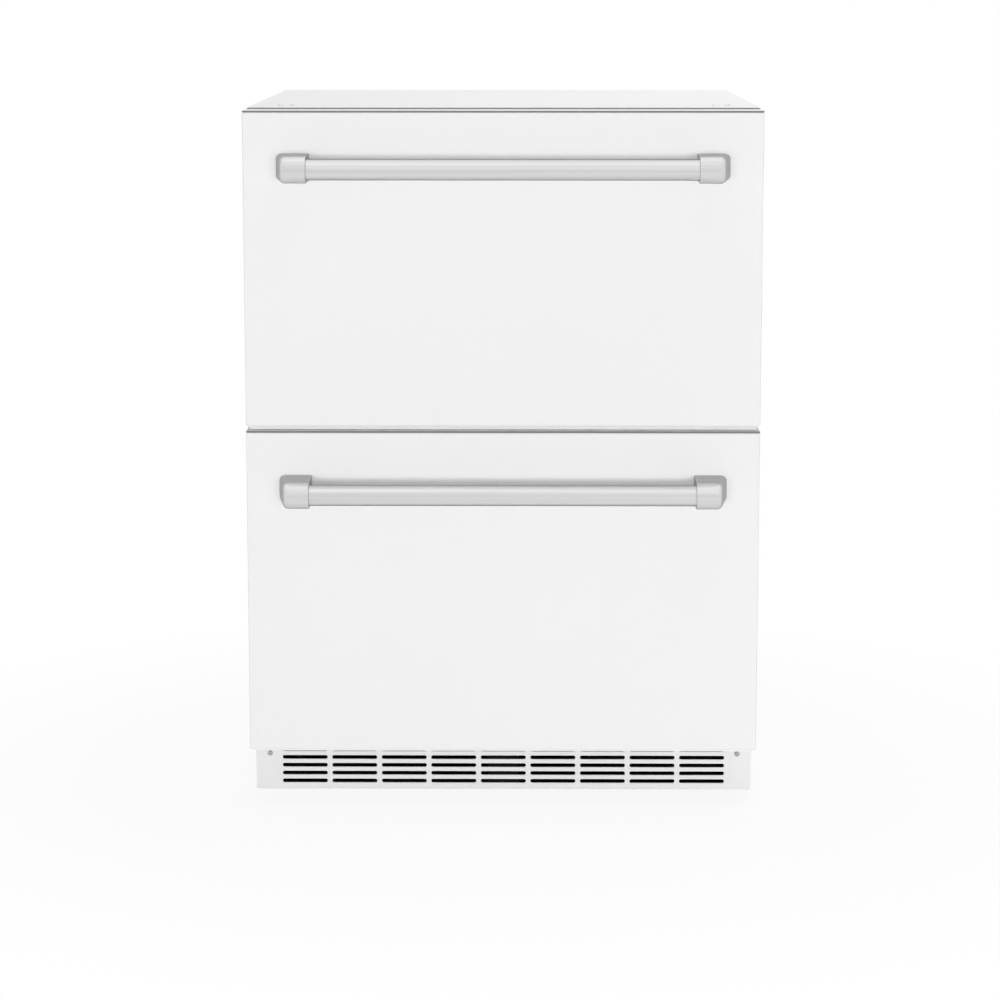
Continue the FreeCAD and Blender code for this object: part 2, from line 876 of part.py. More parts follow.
def build_toe_grille():
    body = new_body("toe_grille")
    plate = new_sketch(body, "XZ", d.toe_recess)
    rectangle(plate, -half_width, base_z, half_width, deck_z - d.grille_top_gap, d.grille_corner)
    pad(plate, d.grille_wall)
    front = Vector(0, d.toe_recess.number, 0)
    dress("Fillet", body, d.grille_edge_round, lambda edge: on_plane(edge, Vector(0, 1, 0), front))
    cut = new_sketch(body, "XZ", d.toe_recess)
    left = -half_width + d.grille_margin
    pitch = (d.slot_gap - left * 2) / d.grille_column_count
    slot(cut, left, left + pitch - d.slot_gap, base_z + d.slot_first_rise, d.slot_height)
    first = pocket(cut, d.grille_wall)
    columns = ("H_Axis", cut, pitch, d.grille_column_count)
    rows = ("V_Axis", cut, d.slot_row_pitch, d.grille_row_count)
    pattern(body, [first], [columns, rows])
    pocket(holes(new_sketch(body, "XZ", d.toe_recess), grille_screw_places(), screw_hole), d.grille_wall)
    sub_part(body, "toe_grille")


def build_feet():
    for label, x, y in foot_places():
        body = new_body(label)
        section = [
            (ORIGIN, ORIGIN),
            (d.foot_pad_radius, ORIGIN, d.foot_pad_round),
            (d.foot_pad_radius, d.foot_pad_height),
            (d.foot_neck_radius, d.foot_neck_height),
            (d.foot_stem_radius, d.foot_neck_height),
            (d.foot_stem_radius, d.foot_stem_top),
            (ORIGIN, d.foot_stem_top),
        ]
        revolve(outline(new_sketch(body, "XZ"), section))
        sub_part(body, label, x, y)


def new_screw(name, x, y, z, axis=None, angle=0):
    """A pan-head screw standing on z = 0 with its shank below, then turned and put in place."""
    body = new_body(name)
    section = [
        (ORIGIN, -d.screw_length),
        (d.screw_shank_radius, -d.screw_length),
        (d.screw_shank_radius, ORIGIN),
        (d.screw_head_radius, ORIGIN),
        (d.screw_head_radius, d.screw_head_height, d.screw_head_round),
        (ORIGIN, d.screw_head_height),
    ]
    revolve(outline(new_sketch(body, "XZ"), section))
    place(body, x, y, z, axis, angle)
    return body


def build_casing_screws():
    across = Vector(1, 0, 0)
    outer_cover_y = cover_y + d.sheet_wall
    screws = [new_screw("top_screw", x, y, top_z) for x, y in top_screw_places()]
    for x, z in grille_screw_places():
        screws.append(new_screw("grille_screw", x, d.toe_recess, z, across, QUARTER_TURN))
    for x, z in cover_screw_places(cover_screw_low) + cover_screw_places(cover_screw_high):
        screws.append(new_screw("cover_screw", x, outer_cover_y, z, across, -QUARTER_TURN))
    group("casing_screws", screws)


def build_machine_cover():
    body = new_body("machine_cover")
    plate = new_sketch(body, "XZ", cover_y)
    rectangle(plate, -shell_inside, base_z, shell_inside, bay_z - d.sheet_wall)
    pad(plate, d.sheet_wall)
    cut = new_sketch(body, "XZ", cover_y)
    left = -half_width + d.louvre_margin
    pitch = (d.louvre_gap - left * 2) / d.louvre_column_count
    slot(cut, left, left + pitch - d.louvre_gap, base_z + d.louvre_first_rise, d.louvre_height)
    first = pocket(cut, d.sheet_wall)
    columns = ("H_Axis", cut, pitch, d.louvre_column_count)
    rows = ("V_Axis", cut, d.louvre_row_pitch, d.louvre_row_count)
    pattern(body, [first], [columns, rows])
    places = cover_screw_places(cover_screw_low) + cover_screw_places(cover_screw_high)
    pocket(holes(new_sketch(body, "XZ", cover_y), places, screw_hole), d.sheet_wall)
    barrel = new_sketch(body, "XZ", cover_y)
    circle(barrel, gland_x, gland_z, d.gland_barrel_radius + d.close_fit)
    pocket(barrel, d.sheet_wall)
    sub_part(body, "machine_cover")


gland_z = base_z + d.tray_flange + d.gland_rise


def build_cord_gland():
    body = new_body("cord_gland")
    section = [
        (d.gland_bore_radius, -d.gland_length),
        (d.gland_barrel_radius, -d.gland_length),
        (d.gland_barrel_radius, ORIGIN),
        (d.gland_flange_radius, ORIGIN),
        (d.gland_flange_radius, d.gland_flange),
        (d.gland_bore_radius, d.gland_flange),
    ]
    revolve(outline(new_sketch(body, "XZ"), section))
    outer_cover_y = cover_y + d.sheet_wall
    sub_part(body, "cord_gland", gland_x, outer_cover_y, gland_z, Vector(1, 0, 0), -QUARTER_TURN)


# Ceiling fittings


def build_control_panel():
    body = new_body("control_panel")
    low = cavity_ceiling - d.panel_height
    rear = d.panel_front + d.panel_depth
    plate = new_sketch(body, "XY", low)
    half = cavity_half - d.panel_side_inset
    rectangle(plate, -half, d.panel_front, half, rear, d.panel_corner)
    pad(plate, d.panel_height)
    window = new_sketch(body, "XY", low)
    margin = d.panel_window_margin
    inner = half - margin
    rectangle(window, -inner, d.panel_front + margin, inner, rear - margin)
    pocket(window, d.panel_window)
    sub_part(body, "control_panel")


def build_light_lens():
    body = new_body("light_lens")
    low = cavity_ceiling - d.lens_height
    plate = new_sketch(body, "XY", low)
    front = d.panel_front + d.panel_depth + d.lens_gap
    half = cavity_half - d.lens_side_inset
    rectangle(plate, -half, front, half, front + d.lens_depth, d.lens_corner)
    pad(plate, d.lens_height)
    bottom = Vector(0, 0, low.number)
    dress("Chamfer", body, d.lens_height / 2, lambda edge: on_plane(edge, Vector(0, 0, 1), bottom))
    sub_part(body, "light_lens")


# Telescopic slides: a cabinet channel, a middle channel inside it and a drawer channel inside that


def channel(body, side, web, mouth, rail_mid, height):
    """A C-section rail whose web stands at one place across and whose mouth opens at the other."""
    wall = d.rail_wall if web.number < mouth.number else -d.rail_wall
    top = rail_mid + height / 2
    low = rail_mid - height / 2
    section = [
        (side * web, low),
        (side * web, top),
        (side * mouth, top),
        (side * mouth, top - d.rail_wall),
        (side * (web + wall), top - d.rail_wall),
        (side * (web + wall), low + d.rail_wall),
        (side * mouth, low + d.rail_wall),
        (side * mouth, low),
    ]
    pad(outline(new_sketch(body, "XZ", d.slide_start), section), slide_length)
    return body


def rail_middle(rim):
    return rim - d.frame_wall - d.rail_drop


rail_step = d.rail_wall + d.rail_gap
rail_mouth = cavity_half - d.rail_depth


def build_cabinet_rails():
    rails = []
    for rim in (upper_rim, lower_rim):
        for name, side in SIDES:
            body = new_body(f"cabinet_rail_{name}")
            rails.append(channel(body, side, cavity_half, rail_mouth, rail_middle(rim), d.rail_height))
    group("cabinet_rails", rails)


def build_middle_rails(prefix, rim):
    rails = []
    for name, side in SIDES:
        body = new_body(f"{prefix}_middle_rail_{name}")
        height = d.rail_height - rail_step * 2
        rails.append(channel(body, side, cavity_half - rail_step, rail_mouth, rail_middle(rim), height))
    group(f"{prefix}_middle_rails", rails)


def build_drawer_rails(prefix, rim):
    rails = []
    for name, side in SIDES:
        body = new_body(f"{prefix}_drawer_rail_{name}")
        height = d.rail_height - rail_step * 4
        mouth = cavity_half - rail_step * 2
        rails.append(channel(body, side, frame_outside, mouth, rail_middle(rim), height))
    group(f"{prefix}_drawer_rails", rails)


# Drawer fronts


def build_front(prefix, bottom, top):
    front_half = half_width
    skin_top = top - d.edge_strip
    panel_y = -d.gasket_gap - d.inner_panel_wall
    wall = d.skin_wall

    skin = new_body(f"{prefix}_front_skin")
    plate = new_sketch(skin, "XZ", face_y)
    rectangle(plate, -front_half, bottom, front_half, skin_top, d.front_corner)
    pad(plate, panel_y - face_y)
    inside = front_half - wall
    hollow = new_sketch(skin, "XZ", face_y + wall)
    rectangle(hollow, -inside, bottom + wall, inside, skin_top - wall)
    pocket(hollow, d.front_thickness)
    sub_part(skin, f"{prefix}_front_skin")

    core = new_body(f"{prefix}_front_core")
    block = new_sketch(core, "XZ", face_y + wall)
    rectangle(block, -inside, bottom + wall, inside, skin_top - wall)
    pad(block, panel_y - face_y - wall)
    sub_part(core, f"{prefix}_front_core")

    strip = new_body(f"{prefix}_edge_strip")
    nose = d.edge_strip_round
    section = [
        (face_y, skin_top, nose),
        (-d.gasket_gap, skin_top),
        (-d.gasket_gap, top),
        (face_y, top, nose),
    ]
    pad(outline(new_sketch(strip, "YZ"), section), d.cabinet_width, middle=True)
    sub_part(strip, f"{prefix}_edge_strip")

    panel = new_body(f"{prefix}_inner_panel")
    sheet_plane = rectangle(new_sketch(panel, "XZ", panel_y), -front_half, bottom, front_half, skin_top)
    pad(sheet_plane, d.inner_panel_wall)
    boss = new_sketch(panel, "XZ", -d.gasket_gap)
    boss_half = frame_outside - d.frame_tab - d.inner_boss_gap
    low = bottom + d.inner_boss_margin
    rectangle(boss, -boss_half, low, boss_half, top - d.inner_boss_margin, d.inner_boss_corner)
    pad(boss, d.inner_boss)
    face = Vector(0, d.inner_boss.number - d.gasket_gap.number, 0)
    dress("Chamfer", panel, d.inner_boss / 2, lambda edge: on_plane(edge, Vector(0, 1, 0), face))
    sub_part(panel, f"{prefix}_inner_panel")


def build_gasket(prefix, bottom, top):
    """A bellows seal swept round the front: a narrow foot, a wide bulb and a flat magnet face."""
    body = new_body(f"{prefix}_gasket")
    inset = d.gasket_inset + d.gasket_width / 2
    reach = half_width - inset
    low = bottom + inset
    high = top - inset
    path = new_sketch(body, "XZ", -d.gasket_gap)
    rectangle(path, -reach, low, reach, high)
    half = d.gasket_width / 2
    foot = d.gasket_foot / 2
    face = -d.gasket_clearance
    lip = face - d.gasket_lip
    step = -d.gasket_gap + d.gasket_lip
    section = [
        (-d.gasket_gap, low - foot),
        (step, low - foot),
        (step, low - half),
        (lip, low - half),
        (face, low - half + d.gasket_lip),
        (face, low + half - d.gasket_lip),
        (lip, low + half),
        (step, low + half),
        (step, low + foot),
        (-d.gasket_gap, low + foot),
    ]
    profile = outline(new_sketch(body, "YZ", -reach), section)
    pipe(profile, path)
    sub_part(body, f"{prefix}_gasket")


# Handles


def build_handle(prefix, bottom, top):
    axis_z = top - (top - bottom) * d.handle_drop_share
    radius = d.bracket_height / 2
    axis_y = nose_y + radius
    base_x = half_width - d.handle_inset
    inner_x = base_x - d.bracket_base
    nose_x = inner_x + d.bracket_nose

    bar = new_body(f"{prefix}_handle_bar")
    ring = new_sketch(bar, "YZ")
    circle(ring, axis_y, axis_z, d.bar_radius)
    circle(ring, axis_y, axis_z, d.bar_radius - d.bar_wall)
    pad(ring, (inner_x + d.bracket_socket - d.close_fit) * 2, middle=True)
    sub_part(bar, f"{prefix}_handle_bar")

    for name, side in SIDES:
        body = new_body(f"{prefix}_handle_bracket_{name}")
        plan = [
            (side * inner_x, face_y),
            (side * base_x, face_y),
            (side * nose_x, nose_y),
            (side * inner_x, nose_y),
        ]
        pad(outline(new_sketch(body, "XY", axis_z), plan), d.bracket_height, middle=True)
        round_nose(body, axis_y, axis_z, radius)
        foot = Vector(side * base_x.number, face_y.number, 0)
        outer = Vector(d.handle_projection.number, side * (nose_x.number - base_x.number), 0).normalize()

        def on_outer_side(edge):
            return on_plane(edge, outer, foot) and not on_plane(edge, Vector(0, 1, 0), foot)

        dress("Fillet", body, d.bracket_round, on_outer_side)
        inner = Vector(side * inner_x.number, 0, 0)
        door = Vector(0, face_y.number, 0)

        def on_inner_side(edge):
            return on_plane(edge, Vector(1, 0, 0), inner) and not on_plane(edge, Vector(0, 1, 0), door)

        dress("Chamfer", body, d.bracket_bevel, on_inner_side)
        socket = circle(new_sketch(body, "YZ", side * inner_x), axis_y, axis_z, d.bar_radius + d.close_fit)
        pocket(socket, d.bracket_socket, towards=side)
        sub_part(body, f"{prefix}_handle_bracket_{name}")


def round_nose(body, axis_y, axis_z, radius):
    """Cuts the front of a bracket to a half round about the bar's axis."""
    sketch = new_sketch(body, "YZ")
    front = axis_y - radius - d.overrun
    reach = radius + d.overrun
    middle = Vector(axis_y.number, axis_z.number, 0)
    turn = Part.Circle(middle, Vector(0, 0, 1), radius.number)
    arc = sketch.addGeometry(Part.ArcOfCircle(turn, math.pi / 2, math.pi * 3 / 2))
    spots = [
        (axis_y, axis_z - radius),
        (axis_y, axis_z - reach),
        (front, axis_z - reach),
        (front, axis_z + reach),
        (axis_y, axis_z + reach),
        (axis_y, axis_z + radius),
    ]
    points = [Vector(y.number, z.number, 0) for y, z in spots]
    lines = [sketch.addGeometry(Part.LineSegment(a, b)) for a, b in zip(points, points[1:])]
    for first, second in zip(lines, lines[1:]):
        sketch.addConstraint(Constraint("Coincident", first, 2, second, 1))
    sketch.addConstraint(Constraint("Coincident", arc, 2, lines[0], 1))
    sketch.addConstraint(Constraint("Coincident", lines[-1], 2, arc, 1))
    for line, (y, z) in zip(lines[1:], spots[1:]):
        fix_point(sketch, line, 1, y, z)
    fix_point(sketch, arc, 3, axis_y, axis_z)
    fix_value(sketch, "Radius", arc, size=radius)
    sketch.addConstraint(Constraint("Vertical", lines[0]))
    sketch.addConstraint(Constraint("Vertical", lines[-1]))
    pocket(sketch, d.cabinet_width, middle=True)


# Bins and the frames that carry them


def build_bin(prefix, rim, height, depth):
    body = new_body(f"{prefix}_bin")
    wide = frame_outside - d.frame_flange - d.bin_fit
    front = d.bin_front
    rear = front + depth
    floor = rim - height
    draft = d.bin_draft

    def section(at, inset, corner):
        sketch = new_sketch(body, "XY", at)
        return rectangle(sketch, -wide + inset, front + inset, wide - inset, rear - inset, corner)

    loft("Additive", section(floor, draft, d.bin_corner - draft), section(rim, ORIGIN, d.bin_corner))
    rim_plane = new_sketch(body, "XY", rim)
    out = d.bin_rim
    rectangle(rim_plane, -wide - out, front - out, wide + out, rear + out, d.bin_corner)
    pad(rim_plane, d.bin_rim_wall)
    wall = d.bin_wall
    top = rim + d.bin_rim_wall
    low_corner = d.bin_corner - draft - wall
    low = section(floor + wall, draft + wall, low_corner)
    loft("Subtractive", low, section(top, wall, d.bin_corner - wall))
    sub_part(body, f"{prefix}_bin")


def build_bin_frame(prefix, rim, depth):
    """Folded side plates with a flange under the bin's rim, a rear plate and tabs against the inner panel."""
    body = new_body(f"{prefix}_bin_frame")
    wall = d.frame_wall
    inside = frame_outside - wall
    flange_x = frame_outside - d.frame_flange
    low = rim - d.frame_height
    front = -d.gasket_gap
    rear = d.bin_front + depth + d.frame_flange
    ledge_y = rear - d.frame_flange + d.bin_fit
    back = [
        (rear, low),
        (rear, rim),
        (ledge_y, rim),
        (ledge_y, rim - wall),
        (rear - wall, rim - wall),
        (rear - wall, low),
    ]
    pad(outline(new_sketch(body, "YZ"), back), inside * 2, middle=True)
    for _, side in SIDES:
        angle = [
            (side * frame_outside, low),
            (side * frame_outside, rim),
            (side * flange_x, rim),
            (side * flange_x, rim - wall),
            (side * inside, rim - wall),
            (side * inside, low),
        ]
        pad(outline(new_sketch(body, "XZ", front), angle), d.slide_start + slide_length - front)
        tab = new_sketch(body, "XZ", front)
        tab_x = side * (frame_outside - d.frame_tab)
        rectangle(tab, tab_x, low, side * inside, rim - wall)
        pad(tab, wall)
    sub_part(body, f"{prefix}_bin_frame")


def build_drawer(prefix, bottom, top, rim, bin_height, bin_depth):
    build_front(prefix, bottom, top)
    build_gasket(prefix, bottom, top)
    build_handle(prefix, bottom, top)
    build_bin(prefix, rim, bin_height, bin_depth)
    build_bin_frame(prefix, rim, bin_depth)
    build_drawer_rails(prefix, rim)
    build_middle_rails(prefix, rim)


# Finned coils: one tube folded up and down through a stack of thin plates


def serpentine(sketch, low_end, high_end, first, pitch, passes):
    """A path that runs across, turns half round and comes back, once for each pass."""
    bend = pitch / 2
    count = int(passes.number)
    lines = []
    arcs = []
    for i in range(count):
        up = (first + pitch * i).number
        ends = [Vector(low_end.number, up, 0), Vector(high_end.number, up, 0)]
        rightwards = i % 2 == 0
        lines.append(sketch.addGeometry(Part.LineSegment(*(ends if rightwards else ends[::-1]))))
        if i < count - 1:
            middle = ends[1 if rightwards else 0] + Vector(0, bend.number, 0)
            turn = Part.Circle(middle, Vector(0, 0, 1), bend.number)
            start = -math.pi / 2 if rightwards else math.pi / 2
            arcs.append(sketch.addGeometry(Part.ArcOfCircle(turn, start, start + math.pi)))
    for i, line in enumerate(lines):
        up = first + pitch * i
        rightwards = i % 2 == 0
        fix_point(sketch, line, 1, low_end if rightwards else high_end, up)
        fix_point(sketch, line, 2, high_end if rightwards else low_end, up)
    for i, arc in enumerate(arcs):
        rightwards = i % 2 == 0
        sketch.addConstraint(Constraint("Coincident", lines[i], 2, arc, 1 if rightwards else 2))
        sketch.addConstraint(Constraint("Coincident", lines[i + 1], 1, arc, 2 if rightwards else 1))
        fix_value(sketch, "DistanceX", -1, 1, arc, 3, size=high_end if rightwards else low_end)
    return sketch


def build_coil(label, planes, at, ends, first, pitch, passes, radius):
    """The tube; planes are the one that it is folded in and the one across its run."""
    body = new_body(label)
    path = serpentine(new_sketch(body, planes[0], at), *ends, first, pitch, passes)
    profile = circle(new_sketch(body, planes[1], ends[0]), at, first, radius)
    pipe(profile, path)
    sub_part(body, label)


def build_fins(label, plane, ends, count, wall, plate, bores):
    """The plates; each is a rectangle with one bore for every pass of the tube."""
    body = new_body(label)
    sketch = new_sketch(body, plane, ends[0])
    rectangle(sketch, *plate)
    at, first, pitch, passes, bore = bores
    for i in range(int(passes.number)):
        circle(sketch, at, first + pitch * i, bore)
    fin = pad(sketch, wall)
    row = body.newObject("PartDesign::LinearPattern", f"{label}_row")
    row.Originals = [fin]
    row.Direction = (sketch, ["N_Axis"])
    row.Reversed = faces_back(sketch)
    bind(row, "Length", ends[1] - ends[0] - wall)
    bind(row, "Occurrences", count)
    body.Tip = row
    doc.recompute()
    sub_part(body, label)


def build_condenser():
    first = tray_top + d.condenser_first_rise
    ends = (condenser_front_y, condenser_rear_y)
    radius = d.condenser_tube_radius
    pitch = condenser_pitch
    passes = d.condenser_pass_count
    build_coil("condenser_tube", ("YZ", "XZ"), condenser_x, ends, first, pitch, passes, radius)
    high = first + pitch * (passes - 1) + d.condenser_fin_margin
    half = d.condenser_fin_depth / 2
    plate = (condenser_x - half, tray_top, condenser_x + half, high)
    bores = (condenser_x, first, pitch, passes, radius + d.close_fit)
    build_fins("condenser_fins", "XZ", ends, d.condenser_fin_count, d.condenser_fin_wall, plate, bores)


evaporator_y = cavity_rear - d.evaporator_fin_depth / 2


def build_evaporator():
    first = step_z + d.evaporator_first_rise
    radius = d.evaporator_tube_radius
    run = cavity_half - d.evaporator_run_inset
    passes = d.evaporator_pass_count
    pitch = cold_height * d.evaporator_pitch_share
    build_coil("evaporator_tube", ("XZ", "YZ"), evaporator_y, (-run, run), first, pitch, passes, radius)
    reach = run - d.evaporator_fin_inset
    low = first - d.evaporator_fin_margin
    high = first + pitch * (passes - 1) + d.evaporator_fin_margin
    plate = (cavity_rear - d.evaporator_fin_depth, low, cavity_rear, high)
    bores = (evaporator_y, first, pitch, passes, radius + d.close_fit)
    count = d.evaporator_fin_count
    build_fins("evaporator_fins", "YZ", (-reach, reach), count, d.evaporator_fin_wall, plate, bores)


def build_evaporator_cover():
    body = new_body("evaporator_cover")
    wall = d.evaporator_cover_wall
    front = evaporator_cover_y
    reach = cavity_half - d.evaporator_cover_side_gap
    low = step_z + d.evaporator_cover_low_gap
    high = cavity_ceiling - d.evaporator_cover_top_gap
    plate = new_sketch(body, "XZ", front)
    rectangle(plate, -reach, low, reach, high, d.liner_corner)
    pad(plate, wall)
    posts = new_sketch(body, "XZ", cavity_rear)
    inset = d.evaporator_post_inset
    places = [(side * (reach - inset), z) for _, side in SIDES for z in (low + inset, high - inset)]
    holes(posts, places, d.evaporator_post_radius)
    pad(posts, d.evaporator_cover_space, towards=-1)
    vents = new_sketch(body, "XZ", front)
    columns = d.evaporator_vent_column_count
    left = -reach + d.evaporator_vent_margin
    gap = d.evaporator_vent_gap
    pitch = (gap - left * 2) / columns
    slot(vents, left, left + pitch - gap, low + d.evaporator_vent_first_rise, d.evaporator_vent_height)
    first = pocket(vents, wall)
    across = ("H_Axis", vents, pitch, columns)
    up = ("V_Axis", vents, d.evaporator_vent_pitch, d.evaporator_vent_row_count)
    pattern(body, [first], [across, up])
    guard = new_sketch(body, "XZ", front, up=evaporator_fan_z)
    slot(guard, d.guard_slot_inner, d.guard_slot_outer, ORIGIN, d.guard_slot_width)
    turned(body, pocket(guard, wall), guard, d.guard_slot_count)
    sub_part(body, "evaporator_cover")


# Fans: both are drawn with their axis along Z and the motor below the rotor


def new_rotor(label, radius, hub_radius, hub_length):
    body = new_body(label)
    hub = new_sketch(body, "XY")
    circle(hub, ORIGIN, ORIGIN, hub_radius)
    circle(hub, ORIGIN, ORIGIN, d.fan_shaft_radius + d.running_fit)
    pad(hub, hub_length)
    mid = hub_length / 2

    def blade_section(at, width, lift):
        sketch = new_sketch(body, "YZ", at)
        skew = lift / 2
        wall = d.blade_wall / 2
        corners = [
            (-width / 2, mid - skew - wall),
            (width / 2, mid + skew - wall),
            (width / 2, mid + skew + wall),
            (-width / 2, mid - skew + wall),
        ]
        return outline(sketch, corners)

    lift = hub_length - d.blade_wall * 2
    root = blade_section(hub_radius * d.blade_root_share, hub_radius * d.blade_root_width_share, lift)
    tip = blade_section(radius, radius * d.blade_tip_width_share, lift * d.blade_tip_pitch_share)
    turned(body, loft("Additive", root, tip), hub, d.fan_blade_count)
    return body


def new_motor(label, radius, length, shaft_length):
    """A round motor below z = 0 with its shaft standing above."""
    body = new_body(label)
    section = [
        (ORIGIN, -length),
        (radius, -length, d.motor_round),
        (radius, ORIGIN, d.motor_round),
        (d.fan_shaft_radius, ORIGIN),
        (d.fan_shaft_radius, shaft_length),
        (ORIGIN, shaft_length),
    ]
    revolve(outline(new_sketch(body, "XZ"), section))
    return body


def build_evaporator_fan():
    axis = Vector(1, 0, 0)
    length = d.evaporator_motor_length
    motor = new_motor("evaporator_fan_motor", d.evaporator_motor_radius, length, d.evaporator_shaft_length)
    seat = cavity_rear - length
    sub_part(motor, "evaporator_fan_motor", ORIGIN, seat, evaporator_fan_z, axis, QUARTER_TURN)
    hub = (d.evaporator_hub_radius, d.evaporator_hub_length)
    rotor = new_rotor("evaporator_fan_rotor", d.evaporator_fan_radius, *hub)
    front = seat - d.fan_hub_gap
    sub_part(rotor, "evaporator_fan_rotor", ORIGIN, front, evaporator_fan_z, axis, QUARTER_TURN)


def build_condenser_fan():
    axis = Vector(0, 1, 0)
    frame = new_body("condenser_fan_frame")
    plate = new_sketch(frame, "XY")
    low = fan_z - tray_top
    high = bay_z - d.fan_frame_top_gap - fan_z
    half = d.fan_frame_width / 2
    rectangle(plate, -high, -half, low, half, d.fan_frame_corner)
    opening = condenser_fan_radius + d.fan_opening_gap
    circle(plate, ORIGIN, ORIGIN, opening)
    pad(plate, d.fan_frame_wall)
    ring = new_sketch(frame, "XY")
    seat = d.condenser_motor_radius + d.running_fit
    ring_outside = seat + d.fan_ring_wall
    arm = new_sketch(frame, "XY")
    arm_half = d.fan_arm_width / 2
    rectangle(arm, ring_outside - d.fan_ring_wall / 2, -arm_half, opening + d.fan_opening_gap, arm_half)
    first = pad(arm, d.fan_frame_wall)
    turned(frame, first, arm, d.fan_arm_count)
    circle(ring, ORIGIN, ORIGIN, ring_outside)
    circle(ring, ORIGIN, ORIGIN, seat)
    pad(ring, d.fan_frame_wall)
    sub_part(frame, "condenser_fan_frame", fan_frame_x, bay_middle_y, fan_z, axis, QUARTER_TURN)
    length = d.condenser_motor_length
    motor = new_motor("condenser_fan_motor", d.condenser_motor_radius, length, d.condenser_shaft_length)
    sub_part(motor, "condenser_fan_motor", fan_motor_x, bay_middle_y, fan_z, axis, QUARTER_TURN)
    hub = (d.condenser_hub_radius, d.condenser_hub_length)
    rotor = new_rotor("condenser_fan_rotor", condenser_fan_radius, *hub)
    hub_x = fan_motor_x + d.fan_hub_gap
    sub_part(rotor, "condenser_fan_rotor", hub_x, bay_middle_y, fan_z, axis, QUARTER_TURN)


# Compressor with its plate, grommets and terminal box


def build_compressor():
    shell = new_body("compressor_shell")
    radius = d.compressor_radius
    flat = radius * d.compressor_flat_share
    seam_low = (d.compressor_height - d.weld_flange_height) / 2
    seam_high = seam_low + d.weld_flange_height
    section = [
        (ORIGIN, ORIGIN),
        (flat, ORIGIN),
        (radius, d.compressor_dome, d.compressor_dome),
        (radius, seam_low),
        (radius + d.weld_flange, seam_low),
        (radius + d.weld_flange, seam_high),
        (radius, seam_high),
        (radius, d.compressor_height - d.compressor_dome, d.compressor_dome),
        (flat, d.compressor_height),
        (ORIGIN, d.compressor_height),
    ]
    revolve(outline(new_sketch(shell, "XZ"), section))
    sub_part(shell, "compressor_shell", compressor_x, bay_middle_y, plate_top)

    plate = new_body("compressor_plate")
    sketch = new_sketch(plate, "XY", plate_z)
    half = d.compressor_plate_half
    depth = d.compressor_plate_depth
    rectangle(sketch, -half, -depth, half, depth, d.compressor_plate_corner)
    waist = d.grommet_radius - d.grommet_waist + d.close_fit
    holes(sketch, grommet_places(), waist)
    pad(sketch, d.compressor_plate_wall)
    sub_part(plate, "compressor_plate", compressor_x, bay_middle_y)

    grommets = []
    for x, y in grommet_places():
        body = new_body("compressor_grommet")
        wide = d.grommet_radius
        neck = wide - d.grommet_waist
        section = [
            (d.grommet_bore_radius, tray_top),
            (wide, tray_top),
            (wide, plate_z),
            (neck, plate_z),
            (neck, plate_top),
            (d.grommet_bore_radius, plate_top),
        ]
        revolve(outline(new_sketch(body, "XZ"), section))
        place(body, compressor_x + x, bay_middle_y + y)
        grommets.append(body)
    group("compressor_grommets", grommets)

    box = new_body("compressor_terminal_box")
    sketch = new_sketch(box, "XY", plate_top + d.terminal_rise)
    side_x = radius + d.weld_flange + d.line_gap
    width = d.terminal_width / 2
    rectangle(sketch, side_x, -width, side_x + d.terminal_depth, width, d.terminal_round)
    pad(sketch, d.terminal_height)
    sub_part(box, "compressor_terminal_box", compressor_x, bay_middle_y)


def grommet_places():
    return [(s * d.grommet_across, e * d.grommet_depth) for _, s in SIDES for _, e in SIDES]


def build_drain_pan():
    body = new_body("drain_pan")
    across = d.pan_half_across
    depth = d.pan_half_depth
    wall = d.pan_wall
    tray = new_sketch(body, "XY", compressor_top)
    rectangle(tray, -across, -depth, across, depth, d.pan_corner)
    pad(tray, d.pan_height)
    hollow = new_sketch(body, "XY", compressor_top + wall)
    rectangle(hollow, -across + wall, -depth + wall, across - wall, depth - wall, d.pan_corner - wall)
    pocket(hollow, d.pan_height)
    sub_part(body, "drain_pan", compressor_x, bay_middle_y)


# Refrigerant lines: copper tube bent through free paths in space


def bent_tube(label, stops, radius):
    """A hollow tube along straight runs joined by bends, drawn from the sheet's own numbers."""
    spots = [Vector(*(as_size(c).number for c in stop)) for stop in stops]
    bend = d.line_bend.number
    edges = []
    start = spots[0]
    for before, corner, after in zip(spots, spots[1:], spots[2:]):
        back = (before - corner).normalize()
        ahead = (after - corner).normalize()
        opening = back.getAngle(ahead)
        reach = bend / math.tan(opening / 2)
        bisector = (back + ahead).normalize()
        middle = corner + bisector * (bend / math.sin(opening / 2))
        entry = corner + back * reach
        leave = corner + ahead * reach
        edges.append(Part.LineSegment(start, entry).toShape())
        edges.append(Part.Arc(entry, middle - bisector * bend, leave).toShape())
        start = leave
    edges.append(Part.LineSegment(start, spots[-1]).toShape())
    path = Part.Wire(edges)
    facing = (spots[1] - spots[0]).normalize()
    walls = []
    for size in (radius, radius * d.line_inner_share):
        ring = Part.Wire(Part.makeCircle(size.number, spots[0], facing))
        walls.append(path.makePipeShell([ring], True, True))
    item = doc.addObject("Part::Feature", label)
    item.Shape = walls[0].cut(walls[1])
    sub_part(item, label)


